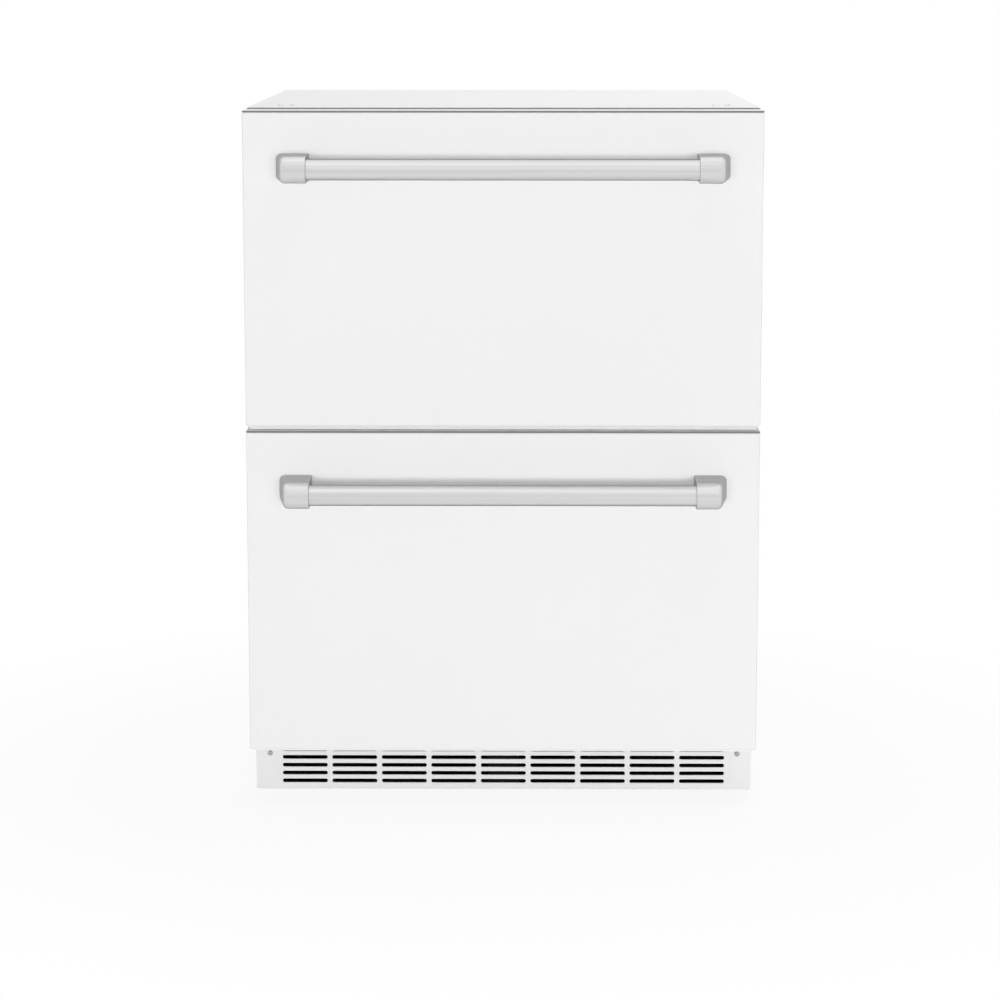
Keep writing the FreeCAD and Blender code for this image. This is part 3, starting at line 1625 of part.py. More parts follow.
def build_lines():
    coil_top = tray_top + d.condenser_first_rise + condenser_pitch * (d.condenser_pass_count - 1)
    high = bay_z - d.line_high_drop
    lift = plate_top + d.discharge_lift
    stub = d.compressor_radius + d.line_gap
    elbow = stub + d.line_bend + d.line_radius
    x = compressor_x
    y = bay_middle_y
    front = y - elbow
    discharge = [
        (x - stub, y, lift),
        (x - elbow, y, lift),
        (x - elbow, y, high),
        (x - elbow, front, high),
        (condenser_x, front, high),
        (condenser_x, front, coil_top),
        (condenser_x, condenser_front_y - d.line_gap, coil_top),
    ]
    bent_tube("discharge_line", discharge, d.line_radius)
    suction = [(x, y - stub, lift), (x, front, lift), (x, front, bay_z - d.line_gap)]
    bent_tube("suction_line", suction, d.line_radius)


def build_filter_drier():
    body = new_body("filter_drier")
    section = [
        (ORIGIN, ORIGIN),
        (d.line_radius, ORIGIN),
        (d.drier_radius, d.drier_neck),
        (d.drier_radius, d.drier_length - d.drier_neck),
        (d.line_radius, d.drier_length),
        (ORIGIN, d.drier_length),
    ]
    revolve(outline(new_sketch(body, "XZ"), section))
    x = compressor_x - d.compressor_radius - d.drier_gap - d.drier_radius
    sub_part(body, "filter_drier", x, bay_y + d.drier_radius + d.line_gap, base_z + d.drier_rise)


build_cabinet_shell()
build_rear_panel()
build_deck_panel()
build_insulation_foam()
build_inner_liner()
build_center_mullion()
build_base_tray()
build_toe_grille()
build_feet()
build_casing_screws()
build_machine_cover()
build_cord_gland()
build_control_panel()
build_light_lens()
build_cabinet_rails()
build_drawer("upper", upper_bottom, upper_top, upper_rim, upper_bin_height, upper_bin_depth)
build_drawer("lower", lower_bottom, lower_top, lower_rim, lower_bin_height, lower_bin_depth)
build_evaporator()
build_evaporator_cover()
build_evaporator_fan()
build_condenser()
build_condenser_fan()
build_compressor()
build_drain_pan()
build_lines()
build_filter_drier()
doc.recompute()

# Every feature must have worked before anything is written
for item in doc.Objects:
    if {"Invalid", "Error"} & set(item.State):
        raise ValueError(f"{item.Label} did not work: {item.State}")
os.makedirs("parts", exist_ok=True)
for item in SUB_PARTS:
    if item.Shape.isNull() or not item.Shape.isValid() or not item.Shape.Solids:
        raise ValueError(f"{item.Label} has no sound shape")
    item.Shape.exportStep(os.path.join("parts", f"{item.Label}.step"))
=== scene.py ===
import json
import math
from collections import Counter

import bmesh
import bpy
from bpy.props import FloatProperty, FloatVectorProperty, IntProperty, PointerProperty
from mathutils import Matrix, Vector


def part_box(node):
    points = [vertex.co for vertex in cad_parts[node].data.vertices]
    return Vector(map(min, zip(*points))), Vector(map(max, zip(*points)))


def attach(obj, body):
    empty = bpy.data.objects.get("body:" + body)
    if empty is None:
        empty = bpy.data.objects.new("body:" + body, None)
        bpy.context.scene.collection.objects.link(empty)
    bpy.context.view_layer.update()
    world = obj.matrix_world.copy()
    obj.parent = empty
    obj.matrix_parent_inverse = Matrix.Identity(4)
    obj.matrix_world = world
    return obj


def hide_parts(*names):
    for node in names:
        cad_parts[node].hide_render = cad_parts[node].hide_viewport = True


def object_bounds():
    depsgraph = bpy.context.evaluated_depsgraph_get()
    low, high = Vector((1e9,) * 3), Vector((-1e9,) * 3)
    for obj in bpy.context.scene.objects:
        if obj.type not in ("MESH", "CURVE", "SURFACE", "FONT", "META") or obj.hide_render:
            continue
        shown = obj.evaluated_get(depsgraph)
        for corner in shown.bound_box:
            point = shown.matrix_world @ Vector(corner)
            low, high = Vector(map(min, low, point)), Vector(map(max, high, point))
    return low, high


bl_info = {
    "name": "Drawer Refrigerator",
    "version": (1, 0, 0),
    "blender": (4, 5, 0),
    "location": "3D View > Sidebar > Refrigerator",
    "description": "Dresses an under-counter refrigerator with two insulated drawers",
    "category": "Object",
}

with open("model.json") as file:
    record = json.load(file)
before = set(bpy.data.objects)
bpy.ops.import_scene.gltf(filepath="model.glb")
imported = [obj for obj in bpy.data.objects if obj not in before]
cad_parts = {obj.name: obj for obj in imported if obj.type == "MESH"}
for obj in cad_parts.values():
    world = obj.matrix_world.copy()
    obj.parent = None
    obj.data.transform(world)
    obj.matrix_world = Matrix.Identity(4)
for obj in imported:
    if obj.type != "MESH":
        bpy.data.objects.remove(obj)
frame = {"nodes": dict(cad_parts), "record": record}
CAD_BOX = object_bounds()
NODE_SLOTS = {part["node"]: part["material_slot"] for part in frame["record"]["subparts"]}
BODIES = frame["record"]["behaviour"]["bodies"]
NODE_BODIES = {node: body for body, nodes in BODIES.items() for node in nodes}
DRAWERS = ("upper", "lower")
SIDES = (("left", -1), ("right", 1))
MM = 0.001
# Distance of the rows of points that keep the flat beside a bend flat
SUPPORT = 0.5 * MM
# Round that is left in the corners of a folded sheet
LEAST_ROUND = 0.4 * MM
# Points closer than this are one point
MERGE_DISTANCE = 0.001 * MM


# Sizes, colours and stage settings that a user would change


def amount(name, description, default, **more):
    return FloatProperty(name=name, description=description, default=default, **more)


def length(name, description, millimetres):
    return amount(name, description, millimetres * MM, unit="LENGTH", precision=4)


def angle(name, description, degrees):
    return amount(name, description, math.radians(degrees), subtype="ANGLE")


def number(name, description, default):
    return IntProperty(name=name, description=description, default=default, min=1)


def vector(name, description, default, **more):
    return FloatVectorProperty(name=name, description=description, default=default, **more)


def color(name, description, default):
    return vector(name, description, default, subtype="COLOR", min=0, max=1)


class FridgeSizes(bpy.types.PropertyGroup):
    """Small sizes that the dressed pieces add to the solids"""

    fold_round: length("Fold round", "Outer radius of the folds in the drawer fronts", 1.6)
    sheet_wall: length("Sheet wall", "Thickness of the enamelled sheet", 1.0)
    shell_bend: length("Shell bend", "Outer radius of the bends in the cabinet's wrapper", 3.0)
    shell_hem: length("Shell hem", "Outer radius of the fold round the wrapper's front", 1.5)
    shell_flange: length("Shell flange", "Width of the wrapper's turned-in front flange", 14.0)
    lip_setback: length("Lip setback", "How far behind the face of a front its lower lip hangs", 12.0)
    upper_lip_drop: length("Upper lip drop", "How far the lip hangs below the upper front", 5.6)
    lower_lip_drop: length("Lower lip drop", "How far the lip hangs below the lower front", 4.7)
    strip_round: length("Strip round", "Radius along the edges of the top edge strips", 0.4)
    bracket_round: length("Bracket round", "Radius round the outer side of a handle bracket", 6.5)
    bracket_bevel: length("Bracket bevel", "Radius round the inner side of a handle bracket", 0.8)
    nose_inset: length("Nose inset", "How much narrower a handle bracket is at its nose", 10.0)
    bar_wall: length("Bar wall", "Wall of the tube that the handle bars are cut from", 1.5)
    slot_height: length("Slot height", "Height of the slots in the toe grille", 4.6)
    slot_gap: length("Slot gap", "Metal left between neighbouring slots in a row", 5.5)
    slot_pitch: length("Slot pitch", "Spacing of the rows of slots", 9.7)
    slot_first: length("First slot", "Height of the lowest row above the grille's bottom", 10.0)
    slot_margin: length("Slot margin", "Plain metal at each end of the grille", 31.6)
    slot_roll: length("Slot roll", "Rolled edge round each slot", 0.5)
    slot_columns: number("Slot columns", "Slots in each row", 9)
    slot_rows: number("Slot rows", "Rows of slots", 6)
    grille_corner: length("Grille corner", "Corner radius of the toe grille", 3.0)
    seal_width: length("Seal width", "Width of the door seals", 16.0)
    louvre_height: length("Louvre height", "Height of the slots in the rear cover", 5.0)
    louvre_gap: length("Louvre gap", "Metal left between neighbouring louvres in a row", 12.0)
    louvre_pitch: length("Louvre pitch", "Spacing of the rows of louvres", 16.0)
    louvre_first: length("First louvre", "Height of the lowest row above the cover's bottom", 70.0)
    louvre_margin: length("Louvre margin", "Plain metal at each end of the cover", 55.0)
    louvre_hood: length("Louvre hood", "How far each pressed hood stands out", 3.2)
    louvre_columns: number("Louvre columns", "Louvres in each row", 6)
    louvre_rows: number("Louvre rows", "Rows of louvres", 7)
    bin_wall: length("Bin wall", "Wall of the moulded bins", 2.5)
    bin_rim: length("Bin rim", "Width of the rim round each bin", 13.0)
    bin_draft: length("Bin draft", "How far each bin narrows towards its floor", 8.0)
    bin_corner: length("Bin corner", "Corner radius of each bin in plan", 26.0)
    bin_bend: length("Bin bend", "Radius between the walls and floor of each bin", 10.0)
    rib_pitch: length("Rib pitch", "Spacing of the ribs across the floor of each bin", 34.0)
    groove_count: number("Grooves", "Grooves pressed in the rear panel", 5)
    groove_width: length("Groove width", "Height of each groove in the rear panel", 15.0)
    groove_depth: length("Groove depth", "Depth of each groove in the rear panel", 0.8)
    groove_inset: length("Groove inset", "Plain metal at the ends of the grooves", 46.0)
    thread_pitch: length("Thread pitch", "Pitch of the thread on the levelling feet", 1.5)
    key_count: number("Keys", "Keys on the control panel", 7)
    ridge_height: length("Ridge height", "Height of the ridges along the lamp lens", 1.2)
    ridge_count: number("Ridges", "Ridges along the lamp lens", 11)


class FridgeColors(bpy.types.PropertyGroup):
    """Colours of the finishes"""

    enamel: color("Enamel", "White powder coat of the cabinet and fronts", (0.88, 0.88, 0.878))
    steel: color("Steel", "Brushed steel of the handles", (0.69, 0.69, 0.687))
    # The edge strip colour is partly dull metal and partly painted shade: its darkness stands for the dark
    # line along the top of each front.
    strip: color("Edge strip", "Dull metal along the top of each front", (0.22, 0.22, 0.224))
    # The flange colour is painted shade: it darkens the wrapper's front flange to stand for the shadow line
    # in the gap above the upper front.
    flange: color("Flange", "Bare metal of the wrapper's front flange", (0.33, 0.33, 0.332))
    zinc: color("Zinc", "Galvanised sheet and rails", (0.56, 0.57, 0.58))
    liner: color("Liner", "White moulded lining", (0.86, 0.87, 0.87))
    bin: color("Bin", "Pale moulded bins", (0.74, 0.77, 0.79))
    seal: color("Seal", "Grey door seals", (0.42, 0.43, 0.44))
    # On the base tray this black is darkened further as painted shade behind the grille.
    black: color("Black", "Black plastic, rubber and paint", (0.016, 0.016, 0.017))
    foam: color("Foam", "Rigid insulation foam", (0.82, 0.72, 0.46))
    copper: color("Copper", "Refrigerant tube", (0.72, 0.38, 0.24))
    aluminium: color("Aluminium", "Fins and cold coil", (0.78, 0.79, 0.8))
    lens: color("Lens", "Frosted lens of the lamp", (0.9, 0.91, 0.92))


class FridgeStage(bpy.types.PropertyGroup):
    """Camera and light"""

    camera_place: vector("Camera place", "Where the camera stands", (0.0227, -3.5898, 0.9776), subtype="XYZ")
    camera_pitch: angle("Pitch", "How far the camera looks down", 8.7)
    camera_yaw: angle("Yaw", "How far the camera looks to the left", 0.45)
    camera_lens: amount("Lens", "Focal length in millimetres", 104.78)
    camera_shift: amount("Shift", "Vertical shift of the frame", -0.07)
    sky: amount("Sky", "Level of the light from all round", 0.42, min=0)
    key: amount("Key", "Watts of the front light", 388.0, min=0)
    top: amount("Top", "Watts of the overhead light", 22.0, min=0)
    floor: color("Floor", "Colour of the floor", (0.92, 0.92, 0.92))


def sizes():
    return bpy.context.scene.fridge_sizes


def colors():
    return bpy.context.scene.fridge_colors


def stage_settings():
    return bpy.context.scene.fridge_stage


# Node trees: sums and products of a Field add Math nodes, and every other node comes from add()


def operation(name, reflected=False):
    """A method that adds a Math node."""

    def apply(self, other):
        values = (other, self) if reflected else (self, other)
        return self.maker.add("ShaderNodeMath", {"operation": name}, values)

    return apply


class Field:
    """A socket that takes part in arithmetic."""

    def __init__(self, maker, socket):
        self.maker = maker
        self.socket = socket

    __add__ = __radd__ = operation("ADD")
    __sub__ = operation("SUBTRACT")
    __rsub__ = operation("SUBTRACT", reflected=True)
    __mul__ = __rmul__ = operation("MULTIPLY")
    __truediv__ = operation("DIVIDE")
    __rtruediv__ = operation("DIVIDE", reflected=True)
    below = operation("LESS_THAN")
    at_most = operation("MINIMUM")
    at_least = operation("MAXIMUM")

    def rise(self, start, run):
        """0 up to a start, and from there an even rise to 1 over a run."""
        return ((self - start) / run).at_least(0.0).at_most(1.0)


class NodeMaker:
    """Adds nodes to a tree."""

    def __init__(self, tree):
        self.tree = tree

    def put(self, socket, value):
        if isinstance(value, Field):
            self.tree.links.new(value.socket, socket)
        else:
            socket.default_value = value

    def add(self, kind, settings=None, inputs=(), output=0):
        """A node of that type; its settings are set first, then the values or links of its sockets."""
        node = self.tree.nodes.new(kind)
        for name, value in (settings or {}).items():
            setattr(node, name, value)
        for key, value in inputs.items() if isinstance(inputs, dict) else enumerate(inputs):
            for each in value if isinstance(value, list) else [value]:
                self.put(node.inputs[key], each)
        return Field(self, node.outputs[output])

    def blend(self, share, first, second):
        """A colour between two colours."""
        mix = {0: share, 6: first, 7: second}
        return self.add("ShaderNodeMix", {"data_type": "RGBA"}, mix, 2)


def shade(base, level=1.0):
    """A colour made lighter or darker, with its alpha."""
    return (*(min(1, part * level) for part in base), 1)


class Finish(NodeMaker):
    """A material on one Principled shader, patterned in object coordinates."""

    def __init__(self, name, **constants):
        self.material = bpy.data.materials.new(name)
        self.material.use_nodes = True
        super().__init__(self.material.node_tree)
        self.shader = self.tree.nodes["Principled BSDF"]
        self.place = self.add("ShaderNodeTexCoord", output="Object")
        for socket, value in constants.items():
            self.set(socket.replace("_", " ").title().replace("Ior", "IOR"), value)

    def set(self, socket, value):
        self.put(self.shader.inputs[socket], value)

    def along(self, axis):
        return self.add("ShaderNodeSeparateXYZ", inputs=[self.place], output=axis)

    def noise(self, scale, stretch=(1, 1, 1), detail=2.0):
        where = self.add("ShaderNodeMapping", inputs={"Vector": self.place, "Scale": stretch})
        return self.add("ShaderNodeTexNoise", inputs={"Vector": where, "Scale": scale, "Detail": detail})

    def streaks(self, scale, axis, detail, lengthwise=1.0, across=240.0):
        """Noise drawn out along one axis."""
        stretch = tuple(lengthwise if each == axis else across for each in "XYZ")
        return self.noise(scale, stretch, detail)

    def cells(self, scale, output="Distance"):
        return self.add("ShaderNodeTexVoronoi", inputs={"Vector": self.place, "Scale": scale}, output=output)

    def tones(self, share, base, dark, light):
        """A colour between a darker and a lighter shade of a base colour."""
        return self.blend(share, shade(base, dark), shade(base, light))

    def dress(self, tint, rough, relief, strength, depth):
        """Sets the colour, the roughness and the relief, and gives the material."""
        self.set("Base Color", tint)
        self.set("Roughness", rough)
        bump = {"Strength": strength, "Distance": depth, "Height": relief}
        self.set("Normal", self.add("ShaderNodeBump", inputs=bump))
        return self.material


# Finishes


def enamel_finish(name, bare_flange=False):
    """Powder coat with a fine peel; on the wrapper the front flange is coloured dark grey, painted shade for
    the shadow line in the gap above the upper front.
    """
    finish = Finish(name, specular_ior_level=0.4)
    broad = finish.noise(3.0, detail=3.0)
    peel = finish.noise(420.0, detail=1.0)
    tint = finish.tones(broad, colors().enamel, dark=0.99, light=1.008)
    # Painted shade: the front flange is coloured dark grey for the shadow line in the gap above the upper
    # front.
    if bare_flange:
        painted_shade_depth = 0.175 * MM
        edge = 0.125 * MM
        clear_of_flange_shade = finish.along("Y").rise(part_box("cabinet_shell")[0].y + painted_shade_depth, edge)
        tint = finish.blend(clear_of_flange_shade, shade(colors().flange), tint)
    rough = broad * 0.08 + peel * 0.06 + 0.42
    return finish.dress(tint, rough, peel, strength=0.12, depth=0.12 * MM)


def brushed_finish(name, base, along, least, contrast, rim=1.0):
    """Satin metal with fine brush lines along one axis and broad bands that are partly brush marks and partly
    painted reflection; rim is its level where it turns away, set low on the handles as painted shade along
    their edges.
    """
    # A low rim darkens the edges where the metal turns away: painted shade.
    finish = Finish(name, metallic=1.0, specular_tint=(rim, rim, rim, 1))
    lines = finish.streaks(5.0, along, detail=4.0)
    fine = finish.streaks(19.0, along, detail=2.0)
    brush_and_reflection_bands = finish.streaks(5.0, along, detail=2.0, lengthwise=0.25, across=58.0)
    smudge = finish.noise(9.0, detail=3.0)
    # The broad bands are partly brush marks and partly painted reflection: light and dark bands round the bar
    # stand in for reflected bands.
    share = lines * 0.2 + fine * 0.15 + brush_and_reflection_bands * 0.65
    tint = finish.tones(share, getattr(colors(), base), dark=1 - contrast, light=1 + contrast)
    rough = fine * 0.14 + smudge * 0.08 + least
    return finish.dress(tint, rough, lines + fine, strength=0.16, depth=0.05 * MM)


def strip_shade_finish(name):
    """A pale flat strip whose front edge is dark dull metal, partly the strip's metal and partly painted
    shade for the dark line along the top of each front.
    """
    finish = Finish(name)
    painted_shade_depth = 0.9 * MM
    edge = 0.25 * MM
    flat = finish.along("Y").rise(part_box("upper_edge_strip")[0].y + painted_shade_depth, edge)
    lines = finish.streaks(5.0, "X", detail=4.0)
    # The dark front edge is partly the strip's metal and partly painted shade for the dark line along the top
    # of the front.
    bare = finish.tones(lines, colors().strip, dark=0.9, light=1.1)
    tint = finish.blend(flat, bare, shade(colors().enamel, 0.94))
    finish.set("Metallic", (1.0 - flat) * 0.5)
    return finish.dress(tint, lines * 0.1 + 0.4, lines, strength=0.08, depth=0.05 * MM)


def screw_finish(name):
    """Zinc screws, painted with the cabinet where they stand in its top."""
    finish = Finish(name)
    paint_depth = 1 * MM
    edge = 0.25 * MM
    painted = finish.along("Z").rise(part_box("cabinet_shell")[1].z - paint_depth, edge)
    grain = finish.noise(900.0)
    bare = finish.tones(grain, colors().zinc, dark=0.8, light=1.0)
    tint = finish.blend(painted, bare, shade(colors().enamel, 0.97))
    finish.set("Metallic", (1.0 - painted) * 0.9)
    return finish.dress(tint, grain * 0.12 + 0.32, grain, strength=0.08, depth=0.05 * MM)


def zinc_finish(name):
    """Galvanised sheet with its spangle of crystals."""
    finish = Finish(name, metallic=0.9)
    tone = finish.add("ShaderNodeSeparateColor", inputs=[finish.cells(95.0, "Color")])
    grain = finish.noise(600.0)
    tint = finish.tones(tone * 0.7 + grain * 0.3, colors().zinc, dark=0.86, light=1.1)
    rough = tone * 0.16 + grain * 0.08 + 0.3
    return finish.dress(tint, rough, grain, strength=0.1, depth=0.05 * MM)


def moulded_finish(name, base, least, grain_scale, relief, coat=0.0):
    """Moulded plastic with a fine spark-eroded grain."""
    finish = Finish(name, coat_weight=coat, coat_roughness=0.2)
    grain = finish.noise(grain_scale, detail=3.0)
    broad = finish.noise(6.0, detail=2.0)
    tint = finish.tones(broad * 0.6 + grain * 0.4, getattr(colors(), base), dark=0.94, light=1.06)
    rough = grain * 0.12 + broad * 0.08 + least
    return finish.dress(tint, rough, grain, strength=relief, depth=0.1 * MM)


def tray_shade_finish(name):
    """Near-black matt paint on the base tray; its darkness is painted shade that keeps the space behind the
    grille slots dark.
    """
    finish = Finish(name, specular_ior_level=0.06)
    grain = finish.noise(1200.0, detail=3.0)
    tint = finish.tones(grain, colors().black, dark=0.25, light=0.5)
    return finish.dress(tint, grain * 0.1 + 0.85, grain, strength=0.2, depth=0.1 * MM)


def foam_finish(name):
    """Rigid foam with its open cells."""
    finish = Finish(name)
    cells = finish.cells(700.0)
    broad = finish.noise(8.0)
    tint = finish.tones(cells * 0.5 + broad * 0.5, colors().foam, dark=0.84, light=1.1)
    return finish.dress(tint, broad * 0.1 + 0.8, cells, strength=0.5, depth=0.6 * MM)


def copper_finish(name):
    """Drawn copper with darker, duller patches where it has aged."""
    finish = Finish(name, metallic=1.0)
    patches = finish.noise(38.0, detail=4.0)
    aged = patches.rise(0.45, 0.25)
    tint = finish.tones(1.0 - aged, colors().copper, dark=0.55, light=1.05)
    return finish.dress(tint, aged * 0.3 + 0.22, patches, strength=0.05, depth=0.1 * MM)


def compressor_finish(name):
    """Thick black paint that has run smooth over the pressing."""
    finish = Finish(name, coat_weight=0.35, coat_roughness=0.12)
    sag = finish.noise(55.0, detail=2.0)
    dust = finish.noise(900.0)
    tint = finish.tones(dust, colors().black, dark=0.7, light=1.6)
    rough = dust * 0.14 + sag * 0.08 + 0.26
    return finish.dress(tint, rough, sag, strength=0.12, depth=0.5 * MM)


# Each finish with the function that makes it and that function's values
FINISHES = {
    "white_enamel": (enamel_finish, {}),
    # The wrapper's enamel, with its front flange coloured dark as painted shade.
    "wrapper_enamel": (enamel_finish, dict(bare_flange=True)),
    # The handles' low rim values are painted shade along the edges of the bars and brackets.
    "stainless": (brushed_finish, dict(base="steel", along="X", least=0.22, contrast=0.32, rim=0.1)),
    "bracket_steel": (brushed_finish, dict(base="steel", along="X", least=0.22, contrast=0.2, rim=0.5)),
    "aluminium": (brushed_finish, dict(base="aluminium", along="Z", least=0.3, contrast=0.05)),
    "edge_strip": (strip_shade_finish, {}),
    "screw_steel": (screw_finish, {}),
    "zinc_steel": (zinc_finish, {}),
    "white_liner": (moulded_finish, dict(base="liner", least=0.28, grain_scale=900.0, relief=0.08)),
    "bin_plastic": (moulded_finish, dict(base="bin", least=0.22, grain_scale=700.0, relief=0.05, coat=0.15)),
    "black_plastic": (moulded_finish, dict(base="black", least=0.5, grain_scale=1100.0, relief=0.25)),
    "black_rubber": (moulded_finish, dict(base="black", least=0.62, grain_scale=1500.0, relief=0.2)),
    "seal_grey": (moulded_finish, dict(base="seal", least=0.55, grain_scale=1300.0, relief=0.12)),
    "lens_white": (moulded_finish, dict(base="lens", least=0.3, grain_scale=1600.0, relief=0.1, coat=0.3)),
    "tray_black": (tray_shade_finish, {}),
    "foam": (foam_finish, {}),
    "copper": (copper_finish, {}),
    "compressor_black": (compressor_finish, {}),
}
# Nodes whose finish isn't that of their material slot; the base tray's near-black is painted shade behind the
# grille
NODE_FINISHES = {"base_tray": "tray_black"}


def finish_of(name):
    """The material of a named finish, made once."""
    label = f"{name}_finish"
    make, values = FINISHES[name]
    return bpy.data.materials.get(label) or make(label, **values)


# Meshes: rings of points joined one to the next


def ring_x(x, points):
    return [(x, y, z) for y, z in points]


def ring_y(y, points):
    return [(x, y, z) for x, z in points]


def ring_z(z, points):
    return [(x, y, z) for x, y in points]


def add_loft(mesh, rings, ends=True):
    """Adds quads from each ring to the next, and faces over the first and last if they are ends."""
    made = [[mesh.verts.new(point) for point in ring] for ring in rings]
    for first, second in zip(made, made[1:]):
        for i in range(len(first)):
            mesh.faces.new((first[i - 1], first[i], second[i], second[i - 1]))
    if ends:
        mesh.faces.new(made[0])
        mesh.faces.new(made[-1])
    return mesh


def lofted(rings):
    return add_loft(bmesh.new(), rings)


def hoop(rings):
    """A mesh through rings that ends where it starts."""
    return add_loft(bmesh.new(), [*rings, rings[0]], ends=False)


def arc(middle, radius, start, end, steps):
    """Points on an arc in a plane, both ends included; angles are in quarter turns."""
    turns = [math.pi / 2 * (start + (end - start) * i / steps) for i in range(steps + 1)]
    return [(middle[0] + radius * math.cos(t), middle[1] + radius * math.sin(t)) for t in turns]


def turned(ring, middle, profile, sides=40):
    """Rings round an axis, one for each radius and place along it."""
    return [ring(at, arc(middle, radius, 0, 4, sides)[:-1]) for radius, at in profile]


def rounded_rectangle(low, high, radius, steps=4, support=SUPPORT):
    """Points round a rectangle with rounded corners, and one beside each bend to keep the sides flat."""
    left, bottom = low
    right, top = high
    points = []
    corners = [(right, top, -1, -1), (left, top, 1, -1), (left, bottom, 1, 1), (right, bottom, -1, 1)]
    for turn, (x, z, inward, upward) in enumerate(corners):
        bend = arc((x + inward * radius, z + upward * radius), radius, turn, turn + 1, steps)
        before = math.pi / 2 * turn
        enter = Vector((math.sin(before), -math.cos(before))) * support
        leave = Vector((-math.cos(before), -math.sin(before))) * support
        points += [tuple(Vector(bend[0]) + enter), *bend, tuple(Vector(bend[-1]) + leave)]
    return points


def rounded_rings(ring, low, high, stations, corner, **detail):
    """Rings round a rectangle, each set in and placed by its station, with a corner for each inset."""
    rings = []
    for inset, at in stations:
        set_in = Vector((inset, inset))
        rings.append(ring(at, rounded_rectangle(low + set_in, high - set_in, corner(inset), **detail)))
    return rings


def fold(radius, steps):
    """How far a rounded edge is set in and back, from its face to its side."""
    turns = [math.pi / 2 * i / steps for i in range(steps + 1)]
    return [(radius * (1 - math.sin(t)), radius * (1 - math.cos(t))) for t in turns]


def add_mesh(mesh, data):
    """Adds a plain mesh to a mesh and drops it."""
    mesh.from_mesh(data)
    bpy.data.meshes.remove(data)
    return mesh


def add_object(name, data):
    added = bpy.data.objects.new(name, data)
    bpy.context.scene.collection.objects.link(added)
    return added


def finish_piece(name, mesh, node, finish=None, crease=32):
    """Turns a mesh into a smooth piece, sharp at its open rims, that rides with a node and stands for it."""
    bmesh.ops.remove_doubles(mesh, verts=mesh.verts, dist=MERGE_DISTANCE)
    bmesh.ops.recalc_face_normals(mesh, faces=mesh.faces)
    data = bpy.data.meshes.new(name)
    mesh.to_mesh(data)
    mesh.free()
    data.shade_smooth()
    data.set_sharp_from_angle(angle=math.radians(crease))
    uses = Counter(key for face in data.polygons for key in face.edge_keys)
    for edge in data.edges:
        if uses[edge.key] == 1:
            edge.use_edge_sharp = True
    data.materials.clear()
    data.materials.append(finish_of(finish or NODE_SLOTS[node]))
    piece = add_object(name, data)
    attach(piece, NODE_BODIES[node])
    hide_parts(node)
    return piece


# Geometry Nodes: a tree with named inputs whose result is kept as a plain mesh


class Pattern(NodeMaker):
    """A tree that repeats a shape."""

    KINDS = {float: "NodeSocketFloat", int: "NodeSocketInt", str: "NodeSocketMaterial"}

    def __init__(self, name, **inputs):
        super().__init__(bpy.data.node_groups.new(name, "GeometryNodeTree"))
        face = self.tree.interface
        face.new_socket("Geometry", in_out="OUTPUT", socket_type="NodeSocketGeometry")
        face.new_socket("Points", in_out="INPUT", socket_type="NodeSocketGeometry")
        self.values = {label.replace("_", " ").title(): value for label, value in inputs.items()}
        for label, value in self.values.items():
            face.new_socket(label, in_out="INPUT", socket_type=self.KINDS[type(value)])
        self.inlet = self.tree.nodes.new("NodeGroupInput")
        self.outlet = self.tree.nodes.new("NodeGroupOutput")

    def get(self, label):
        return Field(self, self.inlet.outputs[label])

    def vector(self, x=0.0, y=0.0, z=0.0):
        return self.add("ShaderNodeCombineXYZ", inputs=[x, y, z])

    def move(self, shape, place=(0, 0, 0), turn=(0, 0, 0), scale=(1, 1, 1)):
        moved = {"Geometry": shape, "Translation": place, "Rotation": turn, "Scale": scale}
        return self.add("GeometryNodeTransform", inputs=moved)

    def join(self, *shapes):
        return self.add("GeometryNodeJoinGeometry", inputs=[list(shapes)])

    def rounded(self, width, height, radius):
        """A rectangle outline with rounded corners."""
        box = self.add("GeometryNodeCurvePrimitiveQuadrilateral", inputs={"Width": width, "Height": height})
        corners = {"Curve": box, "Count": 6, "Radius": radius, "Limit Radius": True}
        return self.add("GeometryNodeFilletCurve", {"mode": "POLY"}, corners)

    def fill(self, curve):
        return self.add("GeometryNodeFillCurve", {"mode": "NGONS"}, {"Curve": curve})

    def extrude(self, flat, rise):
        raised = {"Mesh": flat, "Offset Scale": rise, "Individual": False}
        return self.add("GeometryNodeExtrudeMesh", inputs=raised)

    def repeat(self, points, shape, turn=(0, 0, 0)):
        inputs = {"Points": points, "Instance": shape, "Rotation": turn}
        return self.add("GeometryNodeInstanceOnPoints", inputs=inputs)

    def row(self, shape, count, start, step):
        """A shape repeated along a line."""
        line = {"Count": count, "Start Location": start, "Offset": step}
        return self.repeat(self.add("GeometryNodeMeshLine", inputs=line), shape)

    def realize(self, shape):
        return self.add("GeometryNodeRealizeInstances", inputs={"Geometry": shape})

    def bake(self, shape, points=None):
        """The mesh that the tree makes from some points."""
        dressed = self.add("GeometryNodeSetMaterial", inputs=[self.realize(shape), True, self.get("Finish")])
        self.put(self.outlet.inputs[0], dressed)
        holder = add_object(self.tree.name, points or bpy.data.meshes.new(self.tree.name))
        modifier = holder.modifiers.new("Pattern", "NODES")
        modifier.node_group = self.tree
        for item in self.tree.interface.items_tree:
            if item.name in self.values:
                value = self.values[item.name]
                modifier[item.identifier] = finish_of(value) if isinstance(value, str) else value
        shown = holder.evaluated_get(bpy.context.evaluated_depsgraph_get())
        mesh = bpy.data.meshes.new_from_object(shown)
        holder.modifiers.remove(modifier)
        bpy.data.objects.remove(holder)
        return mesh


